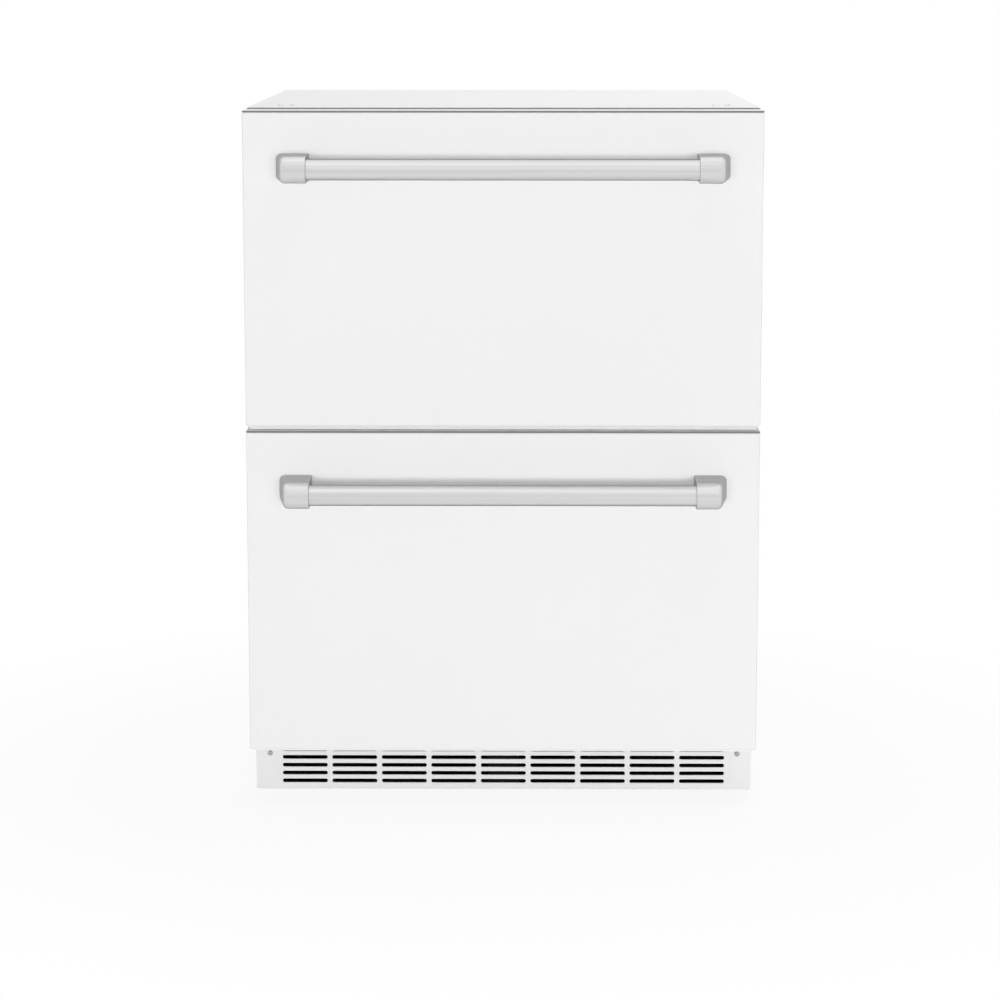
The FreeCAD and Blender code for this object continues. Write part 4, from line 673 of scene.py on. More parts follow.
class SlottedPlate(Pattern):
    """A tree for an upright plate the size of a node, with rows of round-ended slots cut through it."""

    def __init__(self, name, node, kind, **more):
        self.low, self.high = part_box(node)
        width, wall, height = self.high - self.low
        parts = ("height", "gap", "pitch", "first", "columns", "rows")
        slots = {f"slot_{part}": getattr(sizes(), f"{kind}_{part}") for part in parts}
        run = width - getattr(sizes(), f"{kind}_margin") * 2
        super().__init__(
            name,
            plate_width=width,
            plate_height=height,
            plate_wall=wall,
            column_pitch=(run + slots["slot_gap"]) / slots["slot_columns"],
            finish=NODE_SLOTS[node],
            **slots,
            **more,
        )

    def slot_length(self):
        return self.get("Column Pitch") - self.get("Slot Gap")

    def grid(self):
        """The places of the slots."""
        columns = self.get("Slot Columns")
        rows = self.get("Slot Rows")
        across = self.get("Column Pitch") * (columns - 1)
        up = self.get("Slot Pitch") * (rows - 1)
        spread = {"Size X": across, "Size Y": up, "Vertices X": columns, "Vertices Y": rows}
        points = self.add("GeometryNodeMeshGrid", inputs=spread)
        return self.move(points, self.vector(y=self.get("Slot First") + up / 2))

    def cut(self, places):
        """The plate with a slot cut through it at each place."""
        height = self.get("Plate Height")
        plate = self.rounded(self.get("Plate Width"), height, self.get("Plate Corner"))
        plate = self.move(plate, self.vector(y=height / 2))
        slot = self.rounded(self.slot_length(), self.get("Slot Height"), self.get("Slot Height") / 2)
        sheet = self.fill(self.join(plate, self.realize(self.repeat(places, slot))))
        back = self.add("GeometryNodeFlipFaces", inputs={"Mesh": sheet})
        both = self.join(self.extrude(sheet, self.get("Plate Wall")), back)
        merged = {"Geometry": both, "Distance": MERGE_DISTANCE}
        return self.add("GeometryNodeMergeByDistance", inputs=merged)

    def upright(self, shape):
        """The mesh of a shape drawn flat, stood up where the node is."""
        stood = self.move(shape, (0, self.high.y, self.low.z), (math.pi / 2, 0, 0))
        return add_mesh(bmesh.new(), self.bake(stood))


# Pieces


class FRIDGE_OT_solids(bpy.types.Operator):
    """Gives every CAD node the procedural finish of its material slot, save the base tray, which gets the
    near-black of painted shade
    """

    bl_idname = "fridge.solids"
    bl_label = "Finish Solids"

    def execute(self, context):
        for node, solid in frame["nodes"].items():
            solid.data.materials.clear()
            solid.data.materials.append(finish_of(NODE_FINISHES.get(node, NODE_SLOTS[node])))
        return {"FINISHED"}


class FRIDGE_OT_cabinet(bpy.types.Operator):
    """Builds the enamelled wrapper with its bends, front flange and toe notch"""

    bl_idname = "fridge.cabinet"
    bl_label = "Cabinet Wrapper"

    def execute(self, context):
        low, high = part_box("cabinet_shell")
        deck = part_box("deck_panel")[0].z
        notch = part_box("base_tray")[0].y
        size = sizes()
        hem = size.shell_hem
        stations = [(size.shell_flange, low.y), (hem + SUPPORT, low.y)]
        stations += [(inset, low.y + back) for inset, back in fold(hem, steps=4)]
        stations += [(0, low.y + hem + SUPPORT), (0, notch), (0, high.y)]
        mesh = bmesh.new()
        rows = []
        for inset, y in stations:
            bend = max(size.shell_bend - inset, SUPPORT)
            profile = self.profile(high.x - inset, low.z, deck, high.z - inset, bend)
            rows.append([mesh.verts.new(point) for point in ring_y(y, profile)])
        for first, second in zip(rows, rows[1:]):
            for i in range(1, len(first)):
                cell = (first[i - 1], first[i], second[i], second[i - 1])
                below_deck = min(vert.co.z for vert in cell) < deck - MM
                if not (below_deck and min(vert.co.y for vert in cell) < notch - MM):
                    mesh.faces.new(cell)
        bmesh.ops.delete(mesh, geom=[v for v in mesh.verts if not v.link_faces], context="VERTS")
        piece = finish_piece("cabinet_wrapper", mesh, "cabinet_shell", "wrapper_enamel")
        wall = piece.modifiers.new("Sheet", "SOLIDIFY")
        wall.thickness = size.sheet_wall
        wall.offset = -1
        return {"FINISHED"}

    def profile(self, half, low, deck, high, radius):
        """The wrapper seen from the front, up one side, over the top and down the other."""
        turn = arc((half - radius, high - radius), radius, 0, 1, steps=6)
        side = [(half, low), (half, deck), (half, high - radius - SUPPORT)]
        right = [*side, *turn, (half - radius - SUPPORT, high)]
        return right + [(-x, z) for x, z in reversed(right)]


class FRIDGE_OT_fronts(bpy.types.Operator):
    """Builds the two folded drawer fronts and the metal strips along their tops"""

    bl_idname = "fridge.fronts"
    bl_label = "Drawer Fronts"

    def execute(self, context):
        for drawer in DRAWERS:
            self.build_pan(drawer)
            self.build_strip(drawer)
        return {"FINISHED"}

    def build_pan(self, drawer):
        node = f"{drawer}_front_skin"
        low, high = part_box(node)
        size = sizes()
        bend = size.fold_round
        wall = size.sheet_wall
        depth = high.y - low.y
        stations = [(bend + SUPPORT, 0), *fold(bend, steps=6), (0, bend + SUPPORT)]
        stations += [(0, depth), (wall, depth), (wall, wall)]
        stations = [(inset, low.y + back) for inset, back in stations]
        rings = rounded_rings(
            ring_y, low.xz, high.xz, stations, lambda inset: max(bend - inset, 0) + LEAST_ROUND
        )
        mesh = lofted(rings)
        self.add_lip(mesh, low, high, getattr(size, f"{drawer}_lip_drop"))
        finish_piece(f"{drawer}_front_pan", mesh, node)

    def add_lip(self, mesh, low, high, drop):
        """A folded lip that hangs below the pan, a little behind its face."""
        size = sizes()
        wall = size.sheet_wall
        near = low.y + size.lip_setback
        inset = size.fold_round * 2
        corners = (near, low.z - drop), (near + wall, low.z + wall)
        section = rounded_rectangle(*corners, wall / 4, steps=2, support=wall / 10)
        add_loft(mesh, [ring_x(x, section) for x in (low.x + inset, high.x - inset)])

    def build_strip(self, drawer):
        node = f"{drawer}_edge_strip"
        low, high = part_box(node)
        bend = sizes().strip_round
        least = 0.1 * MM
        stations = ((bend, low.x), (0, low.x + bend), (0, high.x - bend), (bend, high.x))
        detail = {"steps": 3, "support": least * 2}
        rings = rounded_rings(ring_x, low.yz, high.yz, stations, lambda inset: bend - inset + least, **detail)
        finish_piece(f"{drawer}_top_strip", lofted(rings), node, "edge_strip")


class FRIDGE_OT_handles(bpy.types.Operator):
    """Builds the round handle bars and their half-round brackets"""

    bl_idname = "fridge.handles"
    bl_label = "Handles"

    def execute(self, context):
        for drawer in DRAWERS:
            self.build_bar(drawer)
            for name, side in SIDES:
                self.build_bracket(drawer, name, side)
        return {"FINISHED"}

    def build_bar(self, drawer):
        node = f"{drawer}_handle_bar"
        low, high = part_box(node)
        middle = (low + high) / 2
        radius = (high.z - low.z) / 2
        bore = radius - sizes().bar_wall
        profile = ((bore, low.x), (radius, low.x), (radius, high.x), (bore, high.x))
        finish_piece(f"{drawer}_grip_bar", hoop(turned(ring_x, middle.yz, profile, sides=96)), node)

    def build_bracket(self, drawer, name, side):
        node = f"{drawer}_handle_bracket_{name}"
        low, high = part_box(node)
        bar_low, bar_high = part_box(f"{drawer}_handle_bar")
        size = sizes()
        flat = 0.6 * MM
        radius = (high.z - low.z) / 2
        axis = Vector((low.y + radius, (low.z + high.z) / 2))
        inner_x, outer_x = sorted((abs(low.x), abs(high.x)))
        slope = size.nose_inset / (high.y - low.y)

        def section(inset):
            """The half-round nose and its flat top and bottom, drawn in by an amount."""
            nose = arc(axis, radius - inset, 1, 3, steps=28)
            return [(high.y, nose[0][1]), *nose, (high.y, nose[-1][1])]

        def outer_ring(inset, back):
            """A section on the outer side, which slants in towards the nose."""
            return [(outer_x - slope * (high.y - y) - back, y, z) for y, z in section(inset)]

        rim = section(size.bracket_bevel + LEAST_ROUND)
        socket = (bar_high.z - bar_low.z) / 2
        hole = [axis + (Vector(point) - axis).normalized() * socket for point in rim]
        rings = [ring_x(abs(bar_high.x), hole), ring_x(inner_x, hole), ring_x(inner_x, rim)]
        for inset, back in fold(size.bracket_bevel, steps=4):
            rings.append(ring_x(inner_x + back, section(inset)))
        for inset, back in reversed(fold(size.bracket_round, steps=6)):
            rings.append(outer_ring(inset, back))
        rings.append(outer_ring(size.bracket_round + flat, 0))
        mesh = lofted([[(side * x, y, z) for x, y, z in ring] for ring in rings])
        finish_piece(f"{drawer}_bracket_{name}", mesh, node, "bracket_steel")


class FRIDGE_OT_grille(bpy.types.Operator):
    """Builds the toe grille: a plate with rows of round-ended slots"""

    bl_idname = "fridge.grille"
    bl_label = "Toe Grille"

    def execute(self, context):
        size = sizes()
        tree = SlottedPlate("toe_grille_slots", "toe_grille", "slot", plate_corner=size.grille_corner)
        mesh = tree.upright(tree.cut(tree.grid()))
        self.roll_edges(mesh, tree.low.y, size.slot_roll)
        finish_piece("slotted_toe_grille", mesh, "toe_grille")
        return {"FINISHED"}

    def roll_edges(self, mesh, face, roll):
        """Rounds the edges on the front face a little."""
        near = 0.1 * MM
        sharp_turn = 1.0
        bmesh.ops.recalc_face_normals(mesh, faces=mesh.faces)
        rims = []
        for edge in mesh.edges:
            on_face = all(abs(vert.co.y - face) < near for vert in edge.verts)
            if on_face and edge.calc_face_angle(0) > sharp_turn:
                rims.append(edge)
        rounding = {"segments": 2, "profile": 0.5, "affect": "EDGES", "clamp_overlap": True}
        bmesh.ops.bevel(mesh, geom=rims, offset=roll, **rounding)


def cluster(points, reach):
    """Groups of points that lie within reach of the first of their group."""
    groups = []
    for point in points:
        near = next((g for g in groups if (g[0] - point).length < reach), None)
        if near is None:
            groups.append([point])
        else:
            near.append(point)
    return groups


class FRIDGE_OT_screws(bpy.types.Operator):
    """Sets pan-head screws with cross recesses in the top, grille and rear cover"""

    bl_idname = "fridge.screws"
    bl_label = "Casing Screws"

    def execute(self, context):
        sides = 32
        crown_share = 0.7
        cross_share = 0.86
        recess_share = 0.6
        tree = Pattern(
            "casing_screw_heads",
            head_radius=3.2 * MM,
            head_height=2.2 * MM,
            recess_width=0.9 * MM,
            finish="screw_steel",
        )
        radius = tree.get("Head Radius")
        height = tree.get("Head Height")
        half = height / 2
        crown = radius * crown_share
        straight = {"Vertices": sides, "Radius": radius, "Depth": half}
        wall = tree.add("GeometryNodeMeshCylinder", {"fill_type": "NONE"}, straight)
        slope = {"Vertices": sides, "Radius Top": crown, "Radius Bottom": radius, "Depth": half}
        shoulder = tree.add("GeometryNodeMeshCone", {"fill_type": "NONE"}, slope)
        ring = tree.add("GeometryNodeCurvePrimitiveCircle", inputs={"Resolution": sides, "Radius": crown})
        star = {"Inner Radius": tree.get("Recess Width") / 2, "Outer Radius": crown * cross_share}
        cross = tree.add("GeometryNodeCurveStar", inputs={"Points": 4, **star})
        recess = tree.extrude(tree.fill(cross), height * -recess_share)
        top = tree.join(tree.fill(tree.join(ring, cross)), recess)
        lifts = ((wall, half / 2), (shoulder, half), (top, height))
        head = tree.join(*(tree.move(shape, tree.vector(z=lift)) for shape, lift in lifts))
        named = {"data_type": "FLOAT_VECTOR"}
        facing = tree.add("GeometryNodeInputNamedAttribute", named, {"Name": "facing"})
        turn = tree.add("FunctionNodeAlignRotationToVector", {"axis": "Z"}, {"Vector": facing})
        heads = tree.bake(tree.repeat(tree.get("Points"), head, turn), self.places())
        mesh = add_mesh(bmesh.new(), heads)
        finish_piece("casing_screw_heads", mesh, "casing_screws", "screw_steel", crease=25)
        return {"FINISHED"}

    def places(self):
        """Where the CAD screws stand, as points with the way that each head faces."""
        solid = frame["nodes"]["casing_screws"].data
        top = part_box("cabinet_shell")[1].z
        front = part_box("toe_grille")[0].y
        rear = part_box("machine_cover")[1].y
        reach = 8 * MM
        faces = (((0, 0, 1), 2, top), ((0, -1, 0), 1, front), ((0, 1, 0), 1, rear))
        spots = []
        for facing, axis, plane in faces:
            outward = sum(facing)
            heads = [v.co for v in solid.vertices if (v.co[axis] - plane) * outward > MM]
            for group in cluster(heads, reach):
                middle = sum(group, Vector()) / len(group)
                middle[axis] = plane
                spots.append((middle, facing))
        data = bpy.data.meshes.new("screw_places")
        data.from_pydata([spot for spot, _ in spots], [], [])
        attribute = data.attributes.new("facing", "FLOAT_VECTOR", "POINT")
        attribute.data.foreach_set("vector", [value for _, facing in spots for value in facing])
        return data


# One side of a seal from its foot to its lip: shares of its depth and of half its width
DEPTH_SHARES = (0.0, 0.16, 0.24, 0.4, 0.5, 0.6, 0.76, 0.9, 0.98, 1.0)
HALF_SHARES = (0.5, 0.5, 0.95, 1.0, 0.72, 1.0, 0.98, 0.86, 0.7, 0.5)


class FRIDGE_OT_seals(bpy.types.Operator):
    """Builds the bellows seals round the backs of the fronts"""

    bl_idname = "fridge.seals"
    bl_label = "Door Seals"

    def execute(self, context):
        half = sizes().seal_width / 2
        side = list(zip(DEPTH_SHARES, HALF_SHARES))
        shares = [*side, *((back, -across) for back, across in reversed(side))]
        for drawer in DRAWERS:
            node = f"{drawer}_gasket"
            low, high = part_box(node)
            depth = high.y - low.y
            section = [(low.y + back * depth, half + across * half) for back, across in shares]
            left, right = (low.x, 1), (high.x, -1)
            bottom, top = (low.z, 1), (high.z, -1)
            rings = []
            for (x, way), (z, rise) in ((left, bottom), (right, bottom), (right, top), (left, top)):
                rings.append([(x + way * inset, y, z + rise * inset) for y, inset in section])
            finish_piece(f"{drawer}_bellows_seal", hoop(rings), node, crease=50)
        return {"FINISHED"}


class FRIDGE_OT_bins(bpy.types.Operator):
    """Moulds the two storage bins with rounded rims and ribbed floors"""

    bl_idname = "fridge.bins"
    bl_label = "Storage Bins"

    def execute(self, context):
        for drawer in DRAWERS:
            node = f"{drawer}_bin"
            low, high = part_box(node)
            mesh = add_mesh(lofted(self.rings(low, high)), self.ribs(drawer, low, high))
            finish_piece(f"{drawer}_moulded_bin", mesh, node)
        return {"FINISHED"}

    def rings(self, low, high):
        """From the middle of the underside, up the outside, over the rim and down the inside."""
        size = sizes()
        support = 1 * MM
        least_corner = 4 * MM
        wall = size.bin_wall
        rim = size.bin_rim
        bend = size.bin_bend
        foot = rim + size.bin_draft
        lip = wall / 2
        top = high.z
        under = top - wall
        floor = low.z + wall
        turn = fold(bend, steps=5)
        outside = [(foot + inset, low.z + back) for inset, back in turn]
        inside = [(foot + wall + inset, floor + back) for inset, back in reversed(turn)]
        edge = [(lip - x, top - lip + z) for x, z in arc((0, 0), lip, -1, 1, steps=6)]
        mouth = [(rim + wall - inset, top - back) for inset, back in fold(wall, steps=4)]
        stations = [(foot + bend + support, low.z), *outside, (rim, under), (lip, under), *edge]
        stations += [(lip + support, top), *mouth, *inside, (foot + wall + bend + support, floor)]

        def corner(inset):
            return max(size.bin_corner - max(0, inset - rim), least_corner)

        return rounded_rings(ring_z, low.xy, high.xy, stations, corner, steps=8)

    def ribs(self, drawer, low, high):
        """Low ribs across the floor."""
        size = sizes()
        inset = size.bin_rim + size.bin_draft + size.bin_bend * 2
        run = high.y - low.y - inset * 2
        count = int(run / size.rib_pitch) + 1
        tree = Pattern(
            f"{drawer}_bin_ribs",
            rib_length=high.x - low.x - inset * 2,
            rib_width=5 * MM,
            rib_height=1.2 * MM,
            rib_pitch=run / (count - 1),
            rib_count=count,
            finish="bin_plastic",
        )
        width = tree.get("Rib Width")
        bar = tree.fill(tree.rounded(tree.get("Rib Length"), width, width / 2))
        rib = tree.extrude(bar, tree.get("Rib Height"))
        start = (0, low.y + inset, low.z + size.bin_wall)
        return tree.bake(tree.row(rib, tree.get("Rib Count"), start, tree.vector(y=tree.get("Rib Pitch"))))


# Sizes of a foot as shares of its pad's radius
SHELF_SHARE = 0.42
NECK_SHARE = 0.47
STEM_SHARE = 5 / 19
# Outlines of the pad and the thread: shares of a groove or pitch inwards, and of the shelf or pitch upwards
PAD_SHARES = ((0, 0.5), (1, 0.56), (1, 0.7), (0, 0.76), (0, 0.92), (1, 1.0))
THREAD_SHARES = ((1 / 3, 0), (0, 0.4), (0, 0.6))
# Heights of the collar above the pad as shares of the shelf
COLLAR_SHARES = (1.62, 1.7, 1.75)


class FRIDGE_OT_feet(bpy.types.Operator):
    """Turns the levelling feet with their grooved pads and threaded stems"""

    bl_idname = "fridge.feet"
    bl_label = "Levelling Feet"

    def execute(self, context):
        for node in [name for name in frame["nodes"] if name.startswith("foot_")]:
            low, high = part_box(node)
            middle = (low + high) / 2
            profile = self.profile(high.x - middle.x, high.z - low.z)
            profile = [(radius, low.z + z) for radius, z in profile]
            finish_piece(f"{node}_glide", lofted(turned(ring_z, middle.xy, profile)), node)
        return {"FINISHED"}

    def profile(self, pad, height):
        """Radius and height from the underside of the pad to the top of the stem."""
        groove = 1 * MM
        pitch = sizes().thread_pitch
        shelf = pad * SHELF_SHARE
        neck = pad * NECK_SHARE
        stem = pad * STEM_SHARE
        points = [(pad - groove * 2, 0), (pad - groove / 2, groove / 2), (pad, groove * 2)]
        points += [(pad - groove * inset, shelf * rise) for inset, rise in PAD_SHARES]
        points += [(radius, shelf * rise) for radius, rise in zip((neck + groove, neck, stem), COLLAR_SHARES)]
        z = points[-1][1] + pitch
        while z < height - pitch:
            points += [(stem - pitch * inset, z + pitch * rise) for inset, rise in THREAD_SHARES]
            z += pitch
        return [*points, (stem - pitch / 3, height)]


class FRIDGE_OT_rear_cover(bpy.types.Operator):
    """Presses the rear cover with its rows of hooded louvres"""

    bl_idname = "fridge.rear_cover"
    bl_label = "Rear Cover"

    def execute(self, context):
        tree = SlottedPlate(
            "rear_cover_louvres",
            "machine_cover",
            "louvre",
            plate_corner=2 * MM,
            hood_depth=sizes().louvre_hood,
            gland_clearance=18 * MM,
        )
        places = self.clear_of_gland(tree)
        hoods = tree.repeat(places, self.hood(tree))
        mesh = tree.upright(tree.join(tree.cut(places), hoods))
        finish_piece("louvred_rear_cover", mesh, "machine_cover")
        return {"FINISHED"}

    def clear_of_gland(self, tree):
        """The places of the louvres, without those too close to the cord gland."""
        low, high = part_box("cord_gland")
        gland = (low + high) / 2
        apart = [tree.add("GeometryNodeInputPosition"), (gland.x, gland.z - tree.low.z, 0)]
        distance = tree.add("ShaderNodeVectorMath", {"operation": "DISTANCE"}, apart, "Value")
        crowded = {"Geometry": tree.grid(), "Selection": distance.below(tree.get("Gland Clearance"))}
        return tree.add("GeometryNodeDeleteGeometry", inputs=crowded)

    def hood(self, tree):
        """A flattened ball over the upper part of a slot."""
        length_share = 0.54
        height_share = 0.9
        height = tree.get("Slot Height")
        ball = tree.add("GeometryNodeMeshUVSphere", inputs={"Segments": 20, "Rings": 10, "Radius": 1.0})
        half = (tree.slot_length() * length_share, height * height_share, tree.get("Hood Depth"))
        return tree.move(ball, tree.vector(y=height / 2), scale=tree.vector(*half))


# One side of a groove from its rim to its floor: shares of half its width and of its depth
GROOVE_SHARES = ((1.0, 0.0), (0.96, 0.08), (0.88, 0.92), (0.84, 1.0))


class FRIDGE_OT_rear_panel(bpy.types.Operator):
    """Folds the rear panel with its coined grooves and the lip behind the rear cover"""

    bl_idname = "fridge.rear_panel"
    bl_label = "Rear Panel"

    def execute(self, context):
        low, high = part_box("rear_panel")
        cover_low, cover_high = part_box("machine_cover")
        size = sizes()
        inset = low.x + size.groove_inset
        ends = ((low.x, 0), (inset, 0), (inset + size.groove_width / 2, 1))
        rings = []
        for x, share in (*ends, *((-x, share) for x, share in reversed(ends))):
            section = self.section(low, high, cover_high.z, cover_low.y, size.groove_depth * share)
            rings.append(ring_x(x, section))
        finish_piece("grooved_rear_panel", lofted(rings), "rear_panel", crease=40)
        return {"FINISHED"}

    def section(self, low, high, fold_z, lip_y, depth):
        """The sheet from its top edge down its outer side to the lower lip, then up its flat inner side."""
        size = sizes()
        half = size.groove_width / 2
        wall = size.sheet_wall
        pitch = (high.z - fold_z) / size.groove_count
        groove = (*GROOVE_SHARES, *((-across, share) for across, share in reversed(GROOVE_SHARES)))
        points = [(high.y, high.z)]
        for i in range(size.groove_count):
            middle = high.z - pitch * (i + 0.5)
            points += [(high.y - depth * share, middle + half * across) for across, share in groove]
        ledge = fold_z + wall
        points += [(high.y, ledge + wall / 2), (high.y - wall / 2, ledge), (lip_y, ledge)]
        points += [(lip_y, low.z), (lip_y - wall, low.z), (lip_y - wall, ledge + wall)]
        return [*points, (high.y - wall, ledge + wall), (high.y - wall, high.z)]


class FRIDGE_OT_fittings(bpy.types.Operator):
    """Builds the cord gland, the control panel with its keys and the ribbed lamp lens"""

    bl_idname = "fridge.fittings"
    bl_label = "Small Fittings"

    def execute(self, context):
        self.build_gland()
        self.build_controls()
        self.build_lens()
        return {"FINISHED"}

    def build_gland(self):
        low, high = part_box("cord_gland")
        bend = 0.5 * MM
        rib = 1.6 * MM
        flange_wall = 2 * MM
        bore_share = 4 / 11
        barrel_share = 8 / 11
        rib_shares = ((0, 0), (1, 0.3), (1, 0.7))
        middle = (low + high) / 2
        flange = (high.x - low.x) / 2
        bore = flange * bore_share
        barrel = flange * barrel_share
        back = high.y - flange_wall
        points = [(bore, low.y), (barrel - bend, low.y), (barrel, low.y + bend)]
        y = low.y + rib
        while y < back - rib * 2:
            points += [(barrel - bend * inset, y + rib * along) for inset, along in rib_shares]
            y += rib
        points += [(barrel, back), (flange - bend, back), (flange, back + bend), (flange, high.y - bend * 2)]
        points += [(flange - bend * 2, high.y), (bore + bend, high.y), (bore, high.y - bend)]
        finish_piece("ribbed_cord_gland", hoop(turned(ring_y, middle.xz, points)), "cord_gland")

    def build_controls(self):
        low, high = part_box("control_panel")
        bend = 2 * MM
        corner = 6 * MM
        margin = 7 * MM
        recess = 1 * MM
        stations = [(inset, low.z + back) for inset, back in reversed(fold(bend, steps=4))]
        stations = [(0, high.z), *stations, (margin, low.z), (margin + recess / 2, low.z + recess)]
        rings = rounded_rings(ring_z, low.xy, high.xy, stations, lambda inset: max(corner - inset, bend))
        keys = self.keys((low + high) / 2, low.z + recess, high.x - low.x)
        finish_piece("touch_control_panel", add_mesh(lofted(rings), keys), "control_panel")

    def keys(self, middle, face, width):
        """A row of low round keys on the underside."""
        size = sizes()
        row_share = 0.75
        top_share = 0.86
        row = width * row_share
        tree = Pattern(
            "control_keys",
            key_radius=5 * MM,
            key_height=0.8 * MM,
            key_pitch=row / (size.key_count - 1),
            key_count=size.key_count,
            finish="black_plastic",
        )
        radius = tree.get("Key Radius")
        slope = {"Radius Top": radius * top_share, "Radius Bottom": radius, "Depth": tree.get("Key Height")}
        key = tree.add("GeometryNodeMeshCone", inputs={"Vertices": 24, **slope})
        hung = tree.move(key, turn=(math.pi, 0, 0))
        start = (middle.x - row / 2, middle.y, face)
        return tree.bake(tree.row(hung, tree.get("Key Count"), start, tree.vector(tree.get("Key Pitch"))))

    def build_lens(self):
        low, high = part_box("light_lens")
        crest = sizes().ridge_height
        ridge_count = sizes().ridge_count
        pitch = (high.y - low.y) / (ridge_count + 1)
        shoulder = (low.z + high.z) / 2
        bend = crest * 2
        rings = []
        for x, draw in ((low.x, bend), (low.x + bend, 0), (high.x - bend, 0), (high.x, bend)):
            section = [(low.y, high.z), (low.y, shoulder)]
            for i in range(ridge_count):
                y = low.y + pitch * (i + 0.5)
                section += [(y, low.z + crest + draw), (y + pitch / 2, low.z + draw)]
            section += [(high.y - pitch / 2, low.z + crest + draw), (high.y, shoulder), (high.y, high.z)]
            rings.append(ring_x(x, section))
        finish_piece("ribbed_lamp_lens", lofted(rings), "light_lens", crease=25)


WHITE = (1, 1, 1, 1)
DIRECT = ("Is Camera Ray",)
MIRRORED = ("Is Glossy Ray", "Is Transmission Ray")
# Each light with the setting that holds its watts, its width and height, and its place
LAMPS = {
    "front_softbox": ("key", (5.6, 1.3), (0.0, -9.0, 0.7)),
    "top_softbox": ("top", (1.8, 1.8), (0.5, 0.1, 2.6)),
}


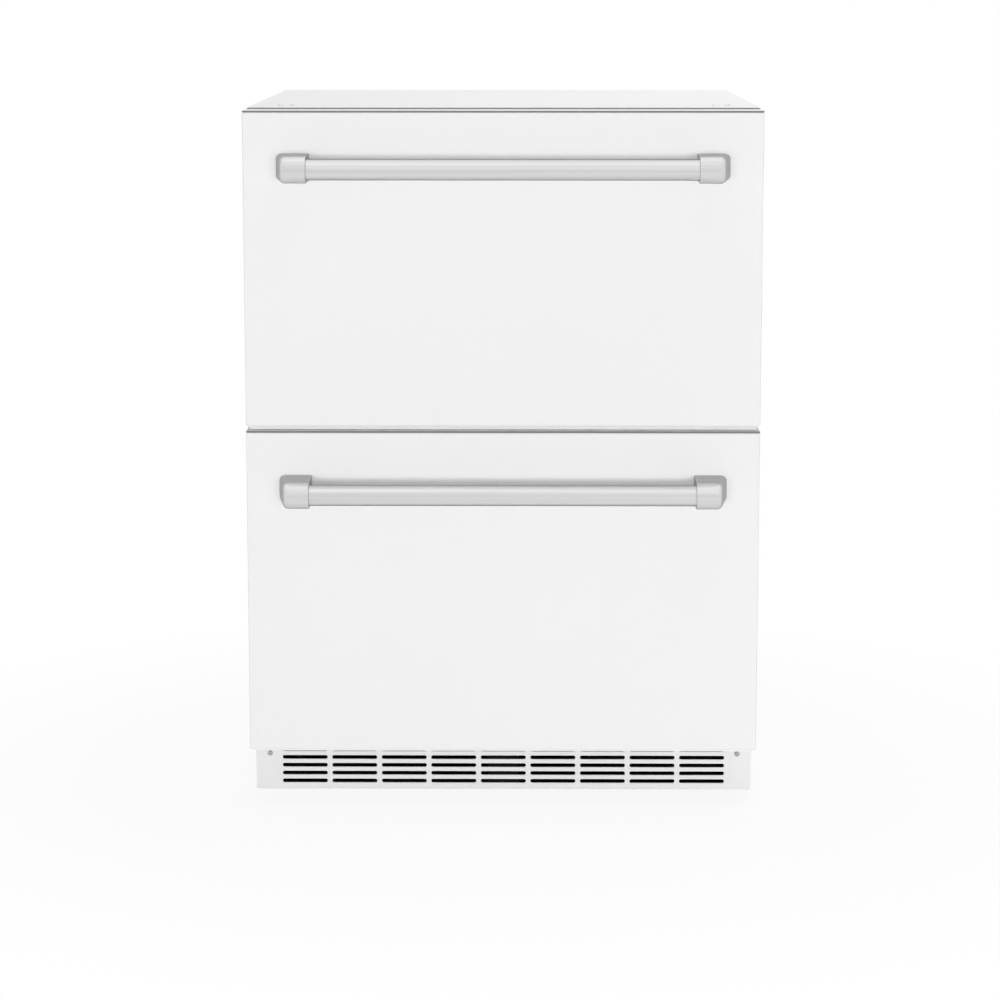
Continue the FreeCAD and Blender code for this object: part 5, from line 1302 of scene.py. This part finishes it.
class FRIDGE_OT_stage(bpy.types.Operator):
    """Sets up the floor, the light and the camera"""

    bl_idname = "fridge.stage"
    bl_label = "Stage"

    def execute(self, context):
        self.build_floor()
        self.build_sky(context.scene)
        for name, (setting, size, place) in LAMPS.items():
            self.build_lamp(name, getattr(stage_settings(), setting), size, place)
        self.build_camera(context.scene)
        context.scene.view_settings.view_transform = "Standard"
        return {"FINISHED"}

    def rays(self, maker, kinds):
        """1 where a ray is one of some kinds, else 0."""
        path = maker.tree.nodes.new("ShaderNodeLightPath").outputs
        return sum((Field(maker, path[kind]) for kind in kinds), 0.0).at_most(1.0)

    def overhead(self, maker):
        """Level of the studio in mirrors, from the horizon to straight up."""
        horizon_level = 0.92
        rise_to_top = 0.3
        way = maker.add("ShaderNodeTexCoord", output="Generated")
        up = maker.add("ShaderNodeSeparateXYZ", inputs=[way], output="Z")
        return up * rise_to_top + horizon_level

    def build_floor(self):
        reach = 30.0
        shadow_reach = 0.5
        shadow_fade = 5 / 12
        white_share = 0.92
        corners = [(x * reach, y * reach, 0) for x, y in ((-1, -1), (1, -1), (1, 1), (-1, 1))]
        data = bpy.data.meshes.new("studio_floor")
        data.from_pydata(corners, [], [(0, 1, 2, 3)])
        maker = Finish("studio_floor")
        maker.tree.nodes.remove(maker.shader)
        matte = maker.add("ShaderNodeBsdfDiffuse", inputs={"Color": (*stage_settings().floor, 1)})
        white = maker.add("ShaderNodeEmission", inputs={"Color": WHITE, "Strength": 1.0})
        away = maker.add("ShaderNodeVectorMath", {"operation": "LENGTH"}, [maker.place], "Value")
        far = away.rise(shadow_reach, shadow_fade)
        share = self.rays(maker, DIRECT + MIRRORED) * (far * (1 - white_share) + white_share)
        mixed = maker.add("ShaderNodeMixShader", inputs=[share, matte, white])
        maker.put(maker.tree.nodes["Material Output"].inputs["Surface"], mixed)
        data.materials.append(maker.material)
        add_object("studio_floor", data)

    def build_sky(self, scene):
        world = bpy.data.worlds.new("studio")
        world.use_nodes = True
        scene.world = world
        maker = NodeMaker(world.node_tree)
        maker.tree.nodes.remove(maker.tree.nodes["Background"])
        plain, mirror, white = (
            maker.add("ShaderNodeBackground", inputs={"Color": WHITE, "Strength": level})
            for level in (stage_settings().sky, self.overhead(maker), 1.0)
        )
        lit = maker.add("ShaderNodeMixShader", inputs=[self.rays(maker, MIRRORED), plain, mirror])
        mixed = maker.add("ShaderNodeMixShader", inputs=[self.rays(maker, DIRECT), lit, white])
        maker.put(maker.tree.nodes["World Output"].inputs["Surface"], mixed)

    def build_lamp(self, name, watts, size, place):
        """A soft rectangular light that faces the middle of the cabinet."""
        lamp = bpy.data.lights.new(name, "AREA")
        lamp.energy = watts
        lamp.shape = "RECTANGLE"
        lamp.size, lamp.size_y = size
        softbox = add_object(name, lamp)
        softbox.location = place
        aim = Vector((0, 0, CAD_BOX[1][2] / 2)) - softbox.location
        softbox.rotation_euler = aim.to_track_quat("-Z", "Y").to_euler()
        softbox.visible_camera = False
        softbox.visible_glossy = False

    def build_camera(self, scene):
        settings = stage_settings()
        data = bpy.data.cameras.new("photo_camera")
        data.lens = settings.camera_lens
        data.shift_y = settings.camera_shift
        camera = add_object("photo_camera", data)
        camera.location = settings.camera_place
        camera.rotation_euler = (math.pi / 2 - settings.camera_pitch, 0, settings.camera_yaw)
        scene.camera = camera


class FRIDGE_PT_panel(bpy.types.Panel):
    """Lists the sizes, the colours and the pieces"""

    bl_idname = "FRIDGE_PT_panel"
    bl_label = "Drawer Refrigerator"
    bl_space_type = "VIEW_3D"
    bl_region_type = "UI"
    bl_category = "Refrigerator"

    def draw(self, context):
        for group in (sizes(), colors(), stage_settings()):
            column = self.layout.column()
            for name in group.__annotations__:
                column.prop(group, name)
        for operator in OPERATORS:
            self.layout.operator(operator.bl_idname)


OPERATORS = (
    FRIDGE_OT_solids,
    FRIDGE_OT_cabinet,
    FRIDGE_OT_fronts,
    FRIDGE_OT_handles,
    FRIDGE_OT_grille,
    FRIDGE_OT_screws,
    FRIDGE_OT_seals,
    FRIDGE_OT_bins,
    FRIDGE_OT_feet,
    FRIDGE_OT_rear_cover,
    FRIDGE_OT_rear_panel,
    FRIDGE_OT_fittings,
    FRIDGE_OT_stage,
)
GROUPS = {"fridge_sizes": FridgeSizes, "fridge_colors": FridgeColors, "fridge_stage": FridgeStage}


def register():
    for each in (*GROUPS.values(), *OPERATORS, FRIDGE_PT_panel):
        bpy.utils.register_class(each)
    for name, group in GROUPS.items():
        setattr(bpy.types.Scene, name, PointerProperty(type=group))


def unregister():
    for name in GROUPS:
        delattr(bpy.types.Scene, name)
    for each in (FRIDGE_PT_panel, *reversed(OPERATORS), *GROUPS.values()):
        bpy.utils.unregister_class(each)


def main():
    register()
    for operator in OPERATORS:
        group, name = operator.bl_idname.split(".")
        getattr(getattr(bpy.ops, group), name)()


if __name__ == "__main__":
    main()
